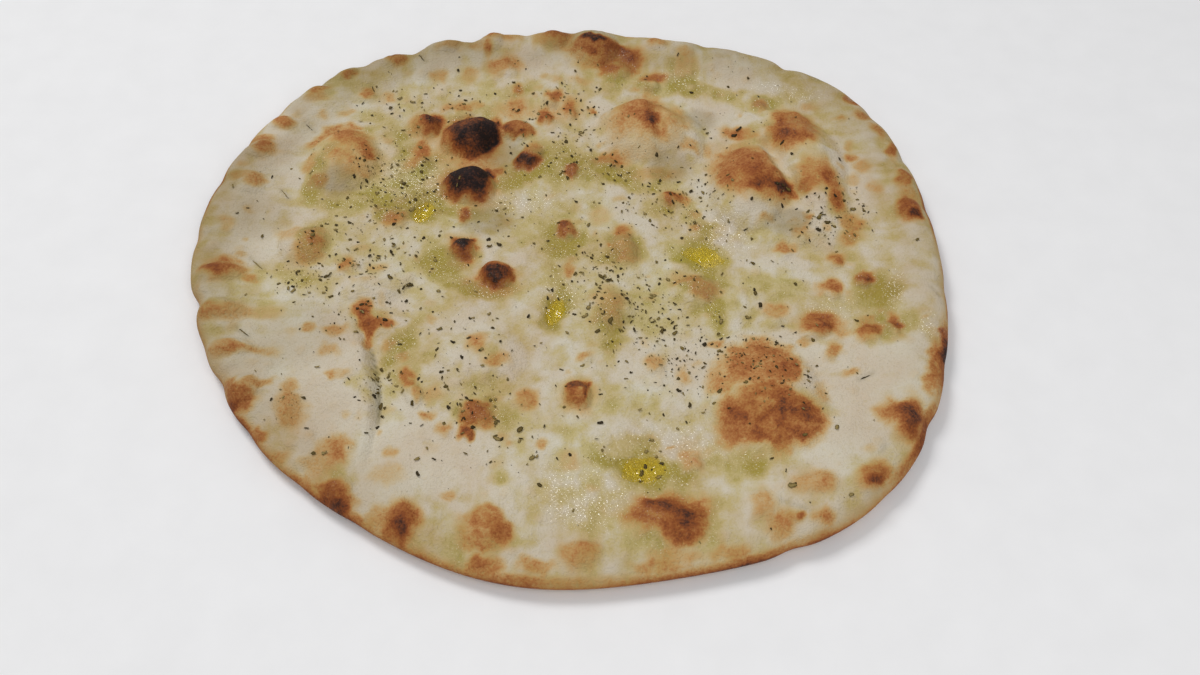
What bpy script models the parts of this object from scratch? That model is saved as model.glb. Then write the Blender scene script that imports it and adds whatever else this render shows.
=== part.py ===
"""A pizza-oven focaccia: one thin round flatbread, blistered, oiled and sprinkled with oregano.

X runs to the right and Y away from the eater. Z is up. The origin is the middle of the flat underside.
Sizes and places are in millimetres up to the point where a mesh is made, and MM turns them into metres.
"""

import math
from collections import namedtuple

import bmesh
import bpy
import numpy as np
from mathutils import Matrix, Vector
from mathutils.bvhtree import BVHTree

MM = 0.001

# Dough sheet and rim
SHEET_THICK = 8.0
RIM_RISE = 2.6
RIM_RISE_FRONT = 1.0
RIM_WIDE = 25.0
RIM_CREST_IN = 10.0
EDGE_ROUND = 8.5
WIDEST_UP = 4.6
UNDER_ROUND = 6.5
# How far the edge lies from the middle, every 20 degrees anticlockwise from +X
RIM_REACH = (153, 157.5, 161.5, 152.5, 144, 143.5, 147.5, 155, 155, 152.8, 146, 142, 139.5, 142.5, 143.5, 150, 157.5, 155)

# Slow rise and fall of the sheet: size of a swell, its height, and the seed of its draw
SWELLS = ((46.0, 1.5, 3), (21.0, 0.9, 5), (11.0, 0.4, 8))
# Sideways wander that keeps blisters from being true ellipses
WANDER_CELL = 9.0
WANDER = 1.3

# Where fingers pinched the rim: degrees round, notch in the outline, length of the groove on top
Pinch = namedtuple("Pinch", "turn notch groove")
PINCHES = (
    Pinch(12, 0.5, 14),
    Pinch(23, 0.8, 12),
    Pinch(33, 0.6, 10),
    Pinch(51, 2.6, 18),
    Pinch(66, 0.6, 18),
    Pinch(80, 0.8, 13),
    Pinch(91, 1.0, 12),
    Pinch(100, 1.6, 16),
    Pinch(111, 1.8, 16),
    Pinch(122, 1.8, 19),
    Pinch(131, 1.0, 17),
    Pinch(140, 0.8, 16),
    Pinch(149, 0.6, 24),
    Pinch(158, 0.8, 22),
    Pinch(166, 0.6, 27),
    Pinch(178, 0.9, 34),
    Pinch(191, 2.6, 20),
    Pinch(199, 0.5, 22),
    Pinch(207, 1.6, 18),
    Pinch(217, 0.8, 13),
    Pinch(229, 0.5, 12),
    Pinch(240, 0.4, 10),
    Pinch(303, 1.2, 16),
    Pinch(318, 0.4, 14),
    Pinch(331, 1.4, 14),
    Pinch(342, 0.6, 14),
    Pinch(356, 0.5, 15),
)
NOTCH_WIDE = 6.0
GROOVE_WIDE = 3.0
GROOVE_DEEP = 1.1

# Blisters: place, length, width, degrees that the length is turned, height, and how round the shoulder is
Blister = namedtuple("Blister", "x y long wide turn high shoulder")
BLISTERS = (
    # Charred bubbles
    Blister(-43.5, 37.7, 22.5, 18, 0, 11.0, 1.05),
    Blister(-45, 67.5, 28, 21, 22, 9.5, 0.8),
    Blister(-25, 72, 17, 13, -8, 4.5, 1.0),
    Blister(-28, -10.5, 15, 13, 0, 6.0, 0.65),
    Blister(-43, 2.5, 11, 12, 0, 5.5, 0.9),
    Blister(-65, 74, 12, 13, 0, 5.5, 0.8),
    Blister(-19, 55, 18, 10, 50, 4.5, 0.9),
    Blister(6, -67, 11, 13, 0, 4.5, 0.7),
    # Large swollen domes
    Blister(-99, 51.5, 33, 38, 0, 7.5, 1.0),
    Blister(30, 74, 40, 44, 20, 9.5, 1.25),
    Blister(48, 71, 22, 34, 8, 5.0, 1.2),
    Blister(89, 43, 62, 70, -10, 3.0, 1.1),
    Blister(76, 40, 35, 50, -14, 7.5, 0.8),
    Blister(77, -66, 45, 52, 10, 6.0, 0.9),
    Blister(40, -119, 27, 21, -8, 3.2, 0.8),
    Blister(-107, 2, 22, 22, 0, 4.5, 1.1),
    Blister(-77, -18, 32, 20, 12, 3.2, 1.2),
    Blister(-31, -52, 36, 30, 0, 3.6, 1.2),
    Blister(17, -26, 20, 27, 10, 3.8, 1.2),
    Blister(51, -16, 17, 17, 0, 3.2, 1.0),
    Blister(23, 5, 11, 21, 0, 3.4, 0.9),
    # Small bubbles in the middle
    Blister(-1, 14, 8, 11, 15, 3.2, 0.9),
    Blister(43, 34, 9, 9, 0, 3.0, 0.8),
    Blister(0, 48, 5, 9, 0, 2.4, 1.0),
    Blister(15, 54, 10, 7, 0, 1.8, 1.0),
    Blister(-65, 52, 8, 12, 0, 2.6, 1.0),
    Blister(-71, 16, 9, 10, 0, 2.2, 1.0),
    Blister(-44, 18, 5, 6, 0, 1.4, 1.0),
    Blister(-87, -9, 8, 7, 0, 1.8, 1.0),
    Blister(-11, 92, 8, 9, 30, 2.8, 0.9),
    Blister(-13, 80, 7, 8, 0, 2.8, 0.9),
    Blister(-2, 85, 6, 9, 0, 2.4, 1.0),
    Blister(8, 84, 4, 5, 0, 1.4, 1.0),
    Blister(-50, 82, 10, 8, 0, 2.2, 1.0),
    Blister(34, 105, 11, 8, -10, 3.0, 0.9),
    Blister(84, 90, 7, 7, 0, 2.0, 0.9),
    Blister(108, 1, 8, 7, 0, 2.0, 0.9),
    Blister(119, -9, 7, 6, 0, 2.6, 0.8),
    Blister(105, -15, 8, 7, 0, 2.0, 0.9),
    Blister(87, 5, 8, 7, 0, 1.6, 1.0),
    Blister(96, 13, 5, 6, 0, 1.4, 1.0),
    Blister(82, -29, 9, 7, 0, 1.8, 0.9),
    Blister(97, -33, 15, 10, 15, 3.0, 0.8),
    Blister(117, -36, 11, 10, 30, 2.4, 0.9),
    Blister(127, -33, 6, 9, 15, 2.4, 0.9),
    Blister(103, -46, 7, 6, 0, 1.4, 1.0),
    Blister(35, -54, 9, 8, 0, 1.6, 1.0),
    Blister(8, -51, 7, 5, 0, 1.2, 1.0),
    Blister(-55, -68, 9, 14, 20, 2.6, 0.9),
    Blister(-32, -77, 17, 13, -35, 2.8, 0.9),
    Blister(-33, -87, 6, 6, 0, 1.8, 0.9),
    Blister(-14, -72, 11, 8, 0, 1.6, 1.0),
    Blister(-42, -86, 7, 6, 0, 1.2, 1.0),
    Blister(49, -94, 8, 8, 0, 1.8, 1.0),
    Blister(-100, -75, 12, 22, 20, 2.0, 1.1),
    # Pillows of the rim, clockwise from the far left
    Blister(-137, -14, 19, 11, 8, 3.0, 0.9),
    Blister(-134, -34, 24, 11, 0, 2.6, 1.0),
    Blister(-126, -52, 18, 10, 3, 2.4, 1.0),
    Blister(-119, -71, 17, 13, 20, 2.8, 0.9),
    Blister(-135, 34, 14, 12, 0, 2.2, 1.1),
    Blister(-136, 53, 15, 13, 0, 2.6, 1.0),
    Blister(-129, 71, 13, 10, 0, 2.4, 1.0),
    Blister(-117, 90, 17, 11, 30, 2.4, 1.0),
    Blister(-105, 104, 11, 10, 40, 2.2, 1.0),
    Blister(-94, 90, 9, 8, 0, 1.6, 1.0),
    Blister(-85, 114, 14, 13, 45, 2.6, 1.0),
    Blister(-62, 126, 19, 13, 20, 2.8, 1.0),
    Blister(-41, 130, 11, 18, -20, 2.6, 1.0),
    Blister(-33, 113, 13, 11, 0, 2.2, 1.0),
    Blister(-11, 133, 16, 13, 0, 3.4, 0.9),
    Blister(8, 128, 24, 20, -20, 5.0, 0.9),
    Blister(19, 114, 13, 14, -30, 2.8, 1.0),
    Blister(36, 132, 12, 9, 0, 2.0, 1.0),
    Blister(140, 64, 9, 14, 20, 1.8, 1.0),
    Blister(142, 46, 11, 15, 20, 2.4, 1.0),
    Blister(142, 29, 13, 13, 0, 3.0, 0.9),
    Blister(127, -75, 16, 20, -20, 3.0, 0.9),
    Blister(111, -101, 11, 14, -20, 2.4, 0.9),
    Blister(92, -103, 17, 11, 0, 1.8, 1.0),
    Blister(84, -115, 7, 7, 0, 1.2, 1.0),
    Blister(71, -111, 15, 15, 0, 1.6, 1.1),
    Blister(9, -132, 16, 13, 10, 2.2, 1.0),
    Blister(-24, -122, 19, 17, -30, 1.8, 1.0),
    Blister(-53, -121, 12, 17, 15, 2.0, 1.0),
    Blister(-77, -110, 17, 12, -45, 2.2, 1.0),
)

# Long swellings and valleys: start, bend, end, half width, and height, which is negative in a valley
Ridge = namedtuple("Ridge", "start bend end wide high")
RIDGES = (
    Ridge((84, 75), (109, 84), (104, 20), 7.2, 7.0),
    Ridge((86, 66), (90, 47), (99, 26), 2.6, -3.2),
    Ridge((36, 84), (35, 72), (39, 58), 2.2, -1.6),
    Ridge((68, 9), (88, 2), (106, 12), 3.5, -1.2),
    Ridge((20, 80), (28, 88), (35, 82), 4.5, 1.8),
    Ridge((-84, -27), (-78, -36), (-65, -39), 4.0, 2.2),
    Ridge((-1, 137), (6, 141), (13, 138), 2.2, 1.8),
)

# Fold on the left: its foot is the curve x = FOLD_X - (y - FOLD_Y)^2 / FOLD_BOW, high on the left of it
FOLD_X = -66.0
FOLD_Y = -85.0
FOLD_BOW = 180.0
FOLD_NEAR = -104.0
FOLD_FAR = -24.0
FOLD_HIGH = 3.8
FOLD_STEEP = 4.5
FOLD_FADE = 27.0
FOLD_TROUGH = 1.2

# Oil pools: place, length and width of the wet outline, turn, and depth of the pan under it
Pool = namedtuple("Pool", "name x y long wide turn deep")
POOLS = (
    Pool("oil_pool_front", 30, -98, 18, 11, 8, 2.2),
    Pool("oil_pool_middle", -4, -28, 15, 8, 78, 2.0),
    Pool("oil_pool_right", 55, 3, 19, 11, -24, 2.0),
    Pool("oil_pool_left", -61, 23, 13, 8, 70, 1.8),
)
PAN_SPREAD = 1.35
PAN_LEVEL = 7.6
OIL_GAP = 0.35
OIL_LEAST = 0.14
OIL_RINGS = 4
OIL_SPOKES = 16

# Oregano: patches where it fell thickly, as place, spread and share of the flakes
Patch = namedtuple("Patch", "x y spread share")
OREGANO_PATCHES = (
    Patch(28, -25, 14, 12),
    Patch(16, -10, 6, 5),
    Patch(42, -45, 14, 6),
    Patch(-80, 45, 13, 8),
    Patch(-85, 5, 20, 10),
    Patch(-70, -15, 20, 7),
    Patch(0, 80, 20, 7),
    Patch(-60, 95, 20, 5),
    Patch(5, 62, 12, 4),
    Patch(30, 42, 16, 5),
    Patch(52, 40, 8, 3),
    Patch(106, 26, 8, 5),
    Patch(72, 92, 18, 3),
    Patch(75, -50, 18, 5),
    Patch(-68, -60, 6, 3),
    Patch(-30, -78, 16, 6),
    Patch(0, 10, 45, 10),
    Patch(0, 0, 90, 12),
)
OREGANO_SEED = 21
OREGANO_FLAKES = 104
OREGANO_LONGEST = 4.8
OREGANO_SHORTEST = 2.6
OREGANO_THICK = 0.8
OREGANO_UP = 0.28
OREGANO_SPACING = 2.6
OREGANO_SLANT = 14.0

# Mesh of the bread: squares along one side of the fine sheet, and the triangles kept of it
SHEET_SQUARES = 150
EDGE_RINGS = 9
KEPT_TRIANGLES = 7400


def eased(t):
    """0 below 0, 1 above 1, and an S curve between."""
    t = np.clip(t, 0.0, 1.0)
    return t * t * (3.0 - 2.0 * t)


def swell(x, y, cell, seed):
    """Rolling noise from -1 to 1: random heights on a square lattice, eased between its corners."""
    lattice = np.random.default_rng(seed).uniform(-1.0, 1.0, (97, 97))
    u = x / cell + 48.0
    v = y / cell + 48.0
    i = np.clip(np.floor(u).astype(int), 0, 95)
    j = np.clip(np.floor(v).astype(int), 0, 95)
    a = eased(u - i)
    b = eased(v - j)
    near = lattice[i, j] * (1 - a) + lattice[i + 1, j] * a
    far = lattice[i, j + 1] * (1 - a) + lattice[i + 1, j + 1] * a
    return near * (1 - b) + far * b


def turned(x, y, mark):
    """Coordinates along a mark's length and width, 1 at its outline."""
    c = math.cos(math.radians(mark.turn))
    s = math.sin(math.radians(mark.turn))
    along = ((x - mark.x) * c + (y - mark.y) * s) / (mark.long / 2)
    across = ((y - mark.y) * c - (x - mark.x) * s) / (mark.wide / 2)
    return along, across


def degrees_between(angle, turn):
    """Signed degrees from a pinch to each angle, from -180 to 180."""
    return (np.degrees(angle) - turn + 180.0) % 360.0 - 180.0


def reach(angle):
    """Distance of the edge from the middle: the Fourier series through RIM_REACH, notched by the pinches."""
    count = len(RIM_REACH)
    terms = np.fft.rfft(RIM_REACH) / count
    edge = np.full_like(angle, terms[0].real)
    for k in range(1, len(terms)):
        share = 1.0 if 2 * k == count else 2.0
        edge += share * (terms[k] * np.exp(1j * k * angle)).real
    for pinch in PINCHES:
        off = np.radians(degrees_between(angle, pinch.turn)) * edge
        edge -= pinch.notch * np.exp(-((off / NOTCH_WIDE) ** 2))
    return edge


def curve_distance(x, y, ridge):
    """Distance to the ridge's quadratic curve, from points along it, and the share of the way along."""
    t = np.linspace(0.0, 1.0, 33)
    start, bend, end = (np.array(p, float) for p in ridge[:3])
    points = np.outer((1 - t) ** 2, start) + np.outer(2 * t * (1 - t), bend) + np.outer(t * t, end)
    far = np.full(x.shape, 1e9)
    share = np.zeros(x.shape)
    for place, (px, py) in zip(t, points):
        gap = np.hypot(x - px, y - py)
        share = np.where(gap < far, place, share)
        far = np.minimum(far, gap)
    return far, share


def fold_height(x, y):
    """The folded-over flap: it climbs steeply left of the foot curve and fades out further left."""
    left = FOLD_X - (y - FOLD_Y) ** 2 / FOLD_BOW - x
    middle = (FOLD_NEAR + FOLD_FAR) / 2
    half = (FOLD_FAR - FOLD_NEAR) / 2
    window = np.clip(1 - ((y - middle) / half) ** 2, 0, 1) ** 1.2
    rise = eased(left / FOLD_STEEP) * np.exp(-((np.maximum(left, 0) / FOLD_FADE) ** 2))
    trough = np.exp(-((left / 1.1) ** 2))
    return window * (FOLD_HIGH * rise - FOLD_TROUGH * trough)


def top_height(x, y):
    """Height of the top crust over the table, before the edge rounds it off."""
    angle = np.arctan2(y, x)
    radius = np.hypot(x, y)
    inward = reach(angle) - radius
    front = eased((-y - 60.0) / 80.0)
    rise = RIM_RISE + (RIM_RISE_FRONT - RIM_RISE) * front
    height = SHEET_THICK + rise * eased((RIM_WIDE - inward) / (RIM_WIDE - RIM_CREST_IN))
    for cell, high, seed in SWELLS:
        height += high * swell(x, y, cell, seed)
    for pinch in PINCHES:
        off = degrees_between(angle, pinch.turn)
        sideways = radius * np.sin(np.radians(off)) + 1e3 * (np.abs(off) > 90)
        along = eased(1.15 - inward / pinch.groove)
        height -= GROOVE_DEEP * along * np.exp(-((sideways / GROOVE_WIDE) ** 2))
    wx = x + WANDER * swell(x, y, WANDER_CELL, 31)
    wy = y + WANDER * swell(x, y, WANDER_CELL, 32)
    for blister in BLISTERS:
        along, across = turned(wx, wy, blister)
        height += blister.high * np.clip(1 - along**2 - across**2, 0, 1) ** blister.shoulder
    for ridge in RIDGES:
        gap, share = curve_distance(wx, wy, ridge)
        ends = np.sin(np.pi * (0.15 + 0.7 * share))
        height += ridge.high * ends * np.clip(1 - (gap / (2 * ridge.wide)) ** 2, 0, 1) ** 1.4
    height += fold_height(x, y)
    for pool in POOLS:
        along, across = turned(x, y, pool)
        q = np.hypot(along, across) / PAN_SPREAD
        pan = PAN_LEVEL - pool.deep * np.clip(1 - q * q, 0, 1) ** 2
        height += (pan - height) * np.exp(-(q**4))
    return height


def sheet_points(across, up, underside):
    """Bread points for grid coordinates from -1 to 1.

    The square grid becomes round by the concentric map: a square ring of the grid is one ring of the bread.
    The last rings follow a quarter ellipse, so the edge turns over to its widest line at WIDEST_UP.
    """
    ring = np.maximum(np.abs(across), np.abs(up))
    wide = np.abs(across) >= np.abs(up)
    slope = np.where(wide, up / np.where(across == 0, 1, across), across / np.where(up == 0, 1, up))
    angle = np.where(wide, slope * math.pi / 4, math.pi / 2 - slope * math.pi / 4)
    angle = angle + np.where(np.where(wide, across, up) < 0, math.pi, 0.0)
    angle = np.where(ring > 0, angle, 0.0)
    band = UNDER_ROUND if underside else EDGE_ROUND
    last = 1 - 2 * EDGE_RINGS / SHEET_SQUARES
    lift = np.clip((ring - last) / (1 - last), 0, 1) * math.pi / 2
    edge = reach(angle)
    radius = np.where(ring < last, ring / last * (edge - band), edge - band + band * np.sin(lift))
    x = radius * np.cos(angle)
    y = radius * np.sin(angle)
    share = np.cos(lift)
    if underside:
        z = WIDEST_UP * (1 - share)
    else:
        z = WIDEST_UP + (top_height(x, y) - WIDEST_UP) * share
    return np.stack([x, y, z], axis=1)


def sheet_mesh():
    """The fine closed sheet: a top grid and an underside grid, welded along their shared edge."""
    made = bmesh.new()
    for underside in (False, True):
        grid = bmesh.ops.create_grid(
            made, x_segments=SHEET_SQUARES, y_segments=SHEET_SQUARES, size=1.0
        )
        verts = grid["verts"]
        flat = np.array([v.co for v in verts])
        flat = np.round(flat * SHEET_SQUARES / 2) * 2 / SHEET_SQUARES
        for vert, place in zip(verts, sheet_points(flat[:, 0], flat[:, 1], underside)):
            vert.co = place * MM
    bmesh.ops.remove_doubles(made, verts=made.verts, dist=0.01 * MM)
    bmesh.ops.recalc_face_normals(made, faces=made.faces)
    bmesh.ops.triangulate(made, faces=made.faces)
    mesh = bpy.data.meshes.new("focaccia")
    made.to_mesh(mesh)
    made.free()
    return mesh


def finish(name, hex_colour, roughness, alpha=1.0):
    """A plain Principled material from an sRGB hex colour."""
    material = bpy.data.materials.new(name)
    material.use_nodes = True
    shader = material.node_tree.nodes["Principled BSDF"]
    parts = [int(hex_colour[i : i + 2], 16) / 255 for i in (0, 2, 4)]
    linear = [c / 12.92 if c <= 0.04045 else ((c + 0.055) / 1.055) ** 2.4 for c in parts]
    shader.inputs["Base Color"].default_value = (*linear, 1.0)
    shader.inputs["Roughness"].default_value = roughness
    shader.inputs["Metallic"].default_value = 0.0
    shader.inputs["Alpha"].default_value = alpha
    material.diffuse_color = (*linear, alpha)
    return material


def place_in_scene(name, mesh, material):
    """One named object for a mesh, shaded smooth except over sharp turns."""
    mesh.materials.append(material)
    mesh.shade_smooth()
    mesh.set_sharp_from_angle(angle=math.radians(50))
    made = bpy.data.objects.new(name, mesh)
    bpy.context.scene.collection.objects.link(made)
    return made


def applied(obj):
    """Turns the object's modifiers into its own mesh."""
    graph = bpy.context.evaluated_depsgraph_get()
    mesh = bpy.data.meshes.new_from_object(obj.evaluated_get(graph), depsgraph=graph)
    obj.modifiers.clear()
    obj.data = mesh


def make_bread():
    """The bread itself, thinned where it is flat so that the blisters keep their triangles."""
    bread = place_in_scene("focaccia", sheet_mesh(), finish("crust", "d8cba6", 0.62))
    thin = bread.modifiers.new("thin_flats", "DECIMATE")
    thin.ratio = KEPT_TRIANGLES / len(bread.data.polygons)
    applied(bread)
    return bread


def surface_of(bread):
    """Finds the crust under a place: returns a function of x and y in millimetres to height and normal."""
    graph = bpy.context.evaluated_depsgraph_get()
    tree = BVHTree.FromObject(bread, graph)

    def under(x, y):
        hit, normal, _, _ = tree.ray_cast(Vector((x * MM, y * MM, 1.0)), Vector((0, 0, -1)))
        return hit, normal

    return under


def near_a_pool(x, y):
    """True where a flake would touch an oil pool."""
    return any(math.hypot(*turned(x, y, pool)) < 1.5 for pool in POOLS)


def flake_places():
    """Seeded places for the largest flakes, thick in the patches and never on each other or in the oil."""
    draw = np.random.default_rng(OREGANO_SEED)
    shares = np.array([patch.share for patch in OREGANO_PATCHES], float)
    places = []
    while len(places) < OREGANO_FLAKES:
        patch = OREGANO_PATCHES[draw.choice(len(shares), p=shares / shares.sum())]
        x = patch.x + patch.spread * draw.normal()
        y = patch.y + patch.spread * draw.normal()
        edge = reach(np.array([math.atan2(y, x)]))[0]
        if math.hypot(x, y) > edge - RIM_WIDE or near_a_pool(x, y):
            continue
        if all(math.hypot(x - a, y - b) > OREGANO_SPACING for a, b in places):
            places.append((x, y))
    return places, draw


def flake_mesh(long, wide, bend):
    """A chip of dried leaf: a pointed oval, bent along its length, both faces cut into the same triangles."""
    rim = ((-0.5, 0.0), (-0.22, -0.42), (0.24, -0.5), (0.5, -0.06), (0.2, 0.46), (-0.26, 0.4))
    made = bmesh.new()
    faces = []
    for side in (-0.5, 0.5):
        ring = []
        for u, v in rim:
            z = side * OREGANO_THICK + bend * (0.25 - u * u)
            ring.append(made.verts.new((u * long * MM, v * wide * MM, z * MM)))
        faces.append(ring)
    below, above = faces
    for a, b, c in ((0, 1, 5), (1, 2, 5), (2, 4, 5), (2, 3, 4)):
        made.faces.new((above[a], above[b], above[c]))
        made.faces.new((below[c], below[b], below[a]))
    for k in range(len(rim)):
        following = (k + 1) % len(rim)
        made.faces.new((below[k], below[following], above[following], above[k]))
    mesh = bpy.data.meshes.new("oregano_flake")
    made.to_mesh(mesh)
    made.free()
    return mesh


def fuse_oregano(bread):
    """Beds the largest oregano flakes in the crust with one Boolean union."""
    under = surface_of(bread)
    flakes = bpy.data.collections.new("oregano_flakes")
    bpy.context.scene.collection.children.link(flakes)
    places, draw = flake_places()
    for k, (x, y) in enumerate(places):
        share = k / (OREGANO_FLAKES - 1)
        long = OREGANO_LONGEST + (OREGANO_SHORTEST - OREGANO_LONGEST) * share**0.5
        wide = long * draw.uniform(0.4, 0.62)
        bend = draw.uniform(0.0, 0.3)
        spin = draw.uniform(0, 2 * math.pi)
        slant = math.radians(OREGANO_SLANT) * draw.normal() / 2
        hit, normal = under(x, y)
        upright = Vector((0, 0, 1)).rotation_difference(normal).to_matrix().to_4x4()
        lie = upright @ Matrix.Rotation(spin, 4, "Z") @ Matrix.Rotation(slant, 4, "X")
        flake = bpy.data.objects.new(f"flake_{k:03d}", flake_mesh(long, wide, bend))
        flake.matrix_world = Matrix.Translation(hit + normal * (OREGANO_UP * MM)) @ lie
        flakes.objects.link(flake)
    join = bread.modifiers.new("bed_the_oregano", "BOOLEAN")
    join.operation = "UNION"
    join.operand_type = "COLLECTION"
    join.solver = "MANIFOLD"
    join.collection = flakes
    applied(bread)
    for flake in list(flakes.objects):
        bpy.data.objects.remove(flake)
    bpy.data.collections.remove(flakes)


def shore(pool, under, turn):
    """How far along one spoke the oil reaches: to the wet outline, or to where the crust rises too near."""
    c = math.cos(math.radians(pool.turn))
    s = math.sin(math.radians(pool.turn))
    along = 0.5 * pool.long * math.cos(turn)
    across = 0.5 * pool.wide * math.sin(turn)
    step = Vector((along * c - across * s, along * s + across * c))
    deepest = (PAN_LEVEL - OIL_GAP - OIL_LEAST) * MM
    share = 0.0
    while share < 1.0:
        further = share + 0.05
        hit, _ = under(pool.x + further * step.x, pool.y + further * step.y)
        if hit.z > deepest:
            break
        share = further
    return step * share


def make_pool(pool, under, oil):
    """Oil lying in its pan: a level top, and a bottom that keeps OIL_GAP over the crust."""
    made = bmesh.new()
    shores = [shore(pool, under, 2 * math.pi * spoke / OIL_SPOKES) for spoke in range(OIL_SPOKES)]
    tops = []
    bottoms = []
    for ring in range(OIL_RINGS + 1):
        top_row = []
        bottom_row = []
        for step in shores if ring else shores[:1]:
            x = pool.x + step.x * ring / OIL_RINGS
            y = pool.y + step.y * ring / OIL_RINGS
            hit, _ = under(x, y)
            top_row.append(made.verts.new((x * MM, y * MM, PAN_LEVEL * MM)))
            bottom_row.append(made.verts.new((x * MM, y * MM, hit.z + OIL_GAP * MM)))
        tops.append(top_row)
        bottoms.append(bottom_row)
    for rows, upward in ((tops, True), (bottoms, False)):
        for ring in range(OIL_RINGS):
            for k in range(OIL_SPOKES):
                n = (k + 1) % OIL_SPOKES
                inner, outer = rows[ring], rows[ring + 1]
                corners = [outer[k], outer[n]] + ([inner[n], inner[k]] if ring else [inner[0]])
                made.faces.new(corners if upward else corners[::-1])
    for k in range(OIL_SPOKES):
        n = (k + 1) % OIL_SPOKES
        made.faces.new((bottoms[-1][k], bottoms[-1][n], tops[-1][n], tops[-1][k]))
    bmesh.ops.recalc_face_normals(made, faces=made.faces)
    mesh = bpy.data.meshes.new(pool.name)
    made.to_mesh(mesh)
    made.free()
    return place_in_scene(pool.name, mesh, oil)


def main():
    for old in list(bpy.data.objects):
        bpy.data.objects.remove(old)
    bread = make_bread()
    under = surface_of(bread)
    fuse_oregano(bread)
    oil = finish("olive_oil", "b8a61a", 0.08, alpha=0.6)
    for pool in POOLS:
        make_pool(pool, under, oil)


main()
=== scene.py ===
"""A pizza-oven focaccia: looks for a thin round flatbread, blistered, oiled and sprinkled with oregano.

Places and sizes are in millimetres in the tables, and MM turns them into metres in the meshes.
"""

import math
from collections import namedtuple

import bpy
import numpy as np
from mathutils import Matrix


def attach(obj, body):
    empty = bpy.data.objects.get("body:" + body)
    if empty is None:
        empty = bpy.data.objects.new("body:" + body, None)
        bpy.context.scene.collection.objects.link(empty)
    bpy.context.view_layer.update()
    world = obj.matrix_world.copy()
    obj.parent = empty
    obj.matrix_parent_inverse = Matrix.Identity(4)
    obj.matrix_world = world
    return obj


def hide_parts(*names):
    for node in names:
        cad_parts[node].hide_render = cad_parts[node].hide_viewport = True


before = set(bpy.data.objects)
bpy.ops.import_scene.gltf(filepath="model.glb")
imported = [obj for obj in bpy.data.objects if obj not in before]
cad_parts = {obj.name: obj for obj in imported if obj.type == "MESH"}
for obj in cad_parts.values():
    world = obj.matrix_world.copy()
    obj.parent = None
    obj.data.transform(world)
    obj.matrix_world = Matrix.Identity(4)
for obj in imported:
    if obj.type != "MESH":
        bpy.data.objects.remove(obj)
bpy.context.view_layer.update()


# The bread: one ball of yeast dough, stretched by hand to a sheet and baked on a hot stone.
# Gas lifts the thin places into blisters, whose tops scorch first. The rim is pinched with the fingers,
# and on the left the sheet is folded over on itself.

# Metres in a millimetre
MM = 0.001
# The sheet, its raised rim and its rounded edge
SHEET_THICK = 8.0
RIM_RISE = 2.6
RIM_RISE_FRONT = 1.0
# Towards the front the rim sinks to that height: from this y on, over this distance
RIM_FRONT = (-60.0, 80.0)
RIM_WIDE = 25.0
RIM_CREST_IN = 10.0
EDGE_ROUND = 8.5
WIDEST_UP = 4.6
UNDER_ROUND = 6.5
# How far the edge lies from the middle, every 20 degrees anticlockwise from +X
RIM_REACH = (
    153, 157.5, 161.5, 152.5, 144, 143.5, 147.5, 155, 155,
    152.8, 146, 142, 139.5, 142.5, 143.5, 150, 157.5, 155,
)

# Slow rise and fall of the sheet: size of a swell, its height, and the seed of its draw
SWELLS = ((46.0, 1.5, 3), (21.0, 0.9, 5), (11.0, 0.4, 8))
# Wander that keeps outlines from being true ellipses: how far, size of a wave, seeds for x and y
BLISTER_WANDER = ((1.3, 9.0, 31, 32),)

# Where fingers pinched the rim: degrees round, notch in the outline, length of the groove on top
Pinch = namedtuple("Pinch", "turn notch groove")
PINCHES = [Pinch(*row) for row in (
    (12, 0.5, 14), (23, 0.8, 12), (33, 0.6, 10), (51, 2.6, 18), (66, 0.6, 18), (80, 0.8, 13),
    (91, 1.0, 12), (100, 1.6, 16), (111, 1.8, 16), (122, 1.8, 19), (131, 1.0, 17), (140, 0.8, 16),
    (149, 0.6, 24), (158, 0.8, 22), (166, 0.6, 27), (178, 0.9, 34), (191, 2.6, 20), (199, 0.5, 22),
    (207, 1.6, 18), (217, 0.8, 13), (229, 0.5, 12), (240, 0.4, 10), (303, 1.2, 16), (318, 0.4, 14),
    (331, 1.4, 14), (342, 0.6, 14), (356, 0.5, 15),
)]
NOTCH_WIDE = 6.0
GROOVE_WIDE = 3.0
GROOVE_DEEP = 1.1
# A groove has faded out at this share of its length
GROOVE_END = 1.15

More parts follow.
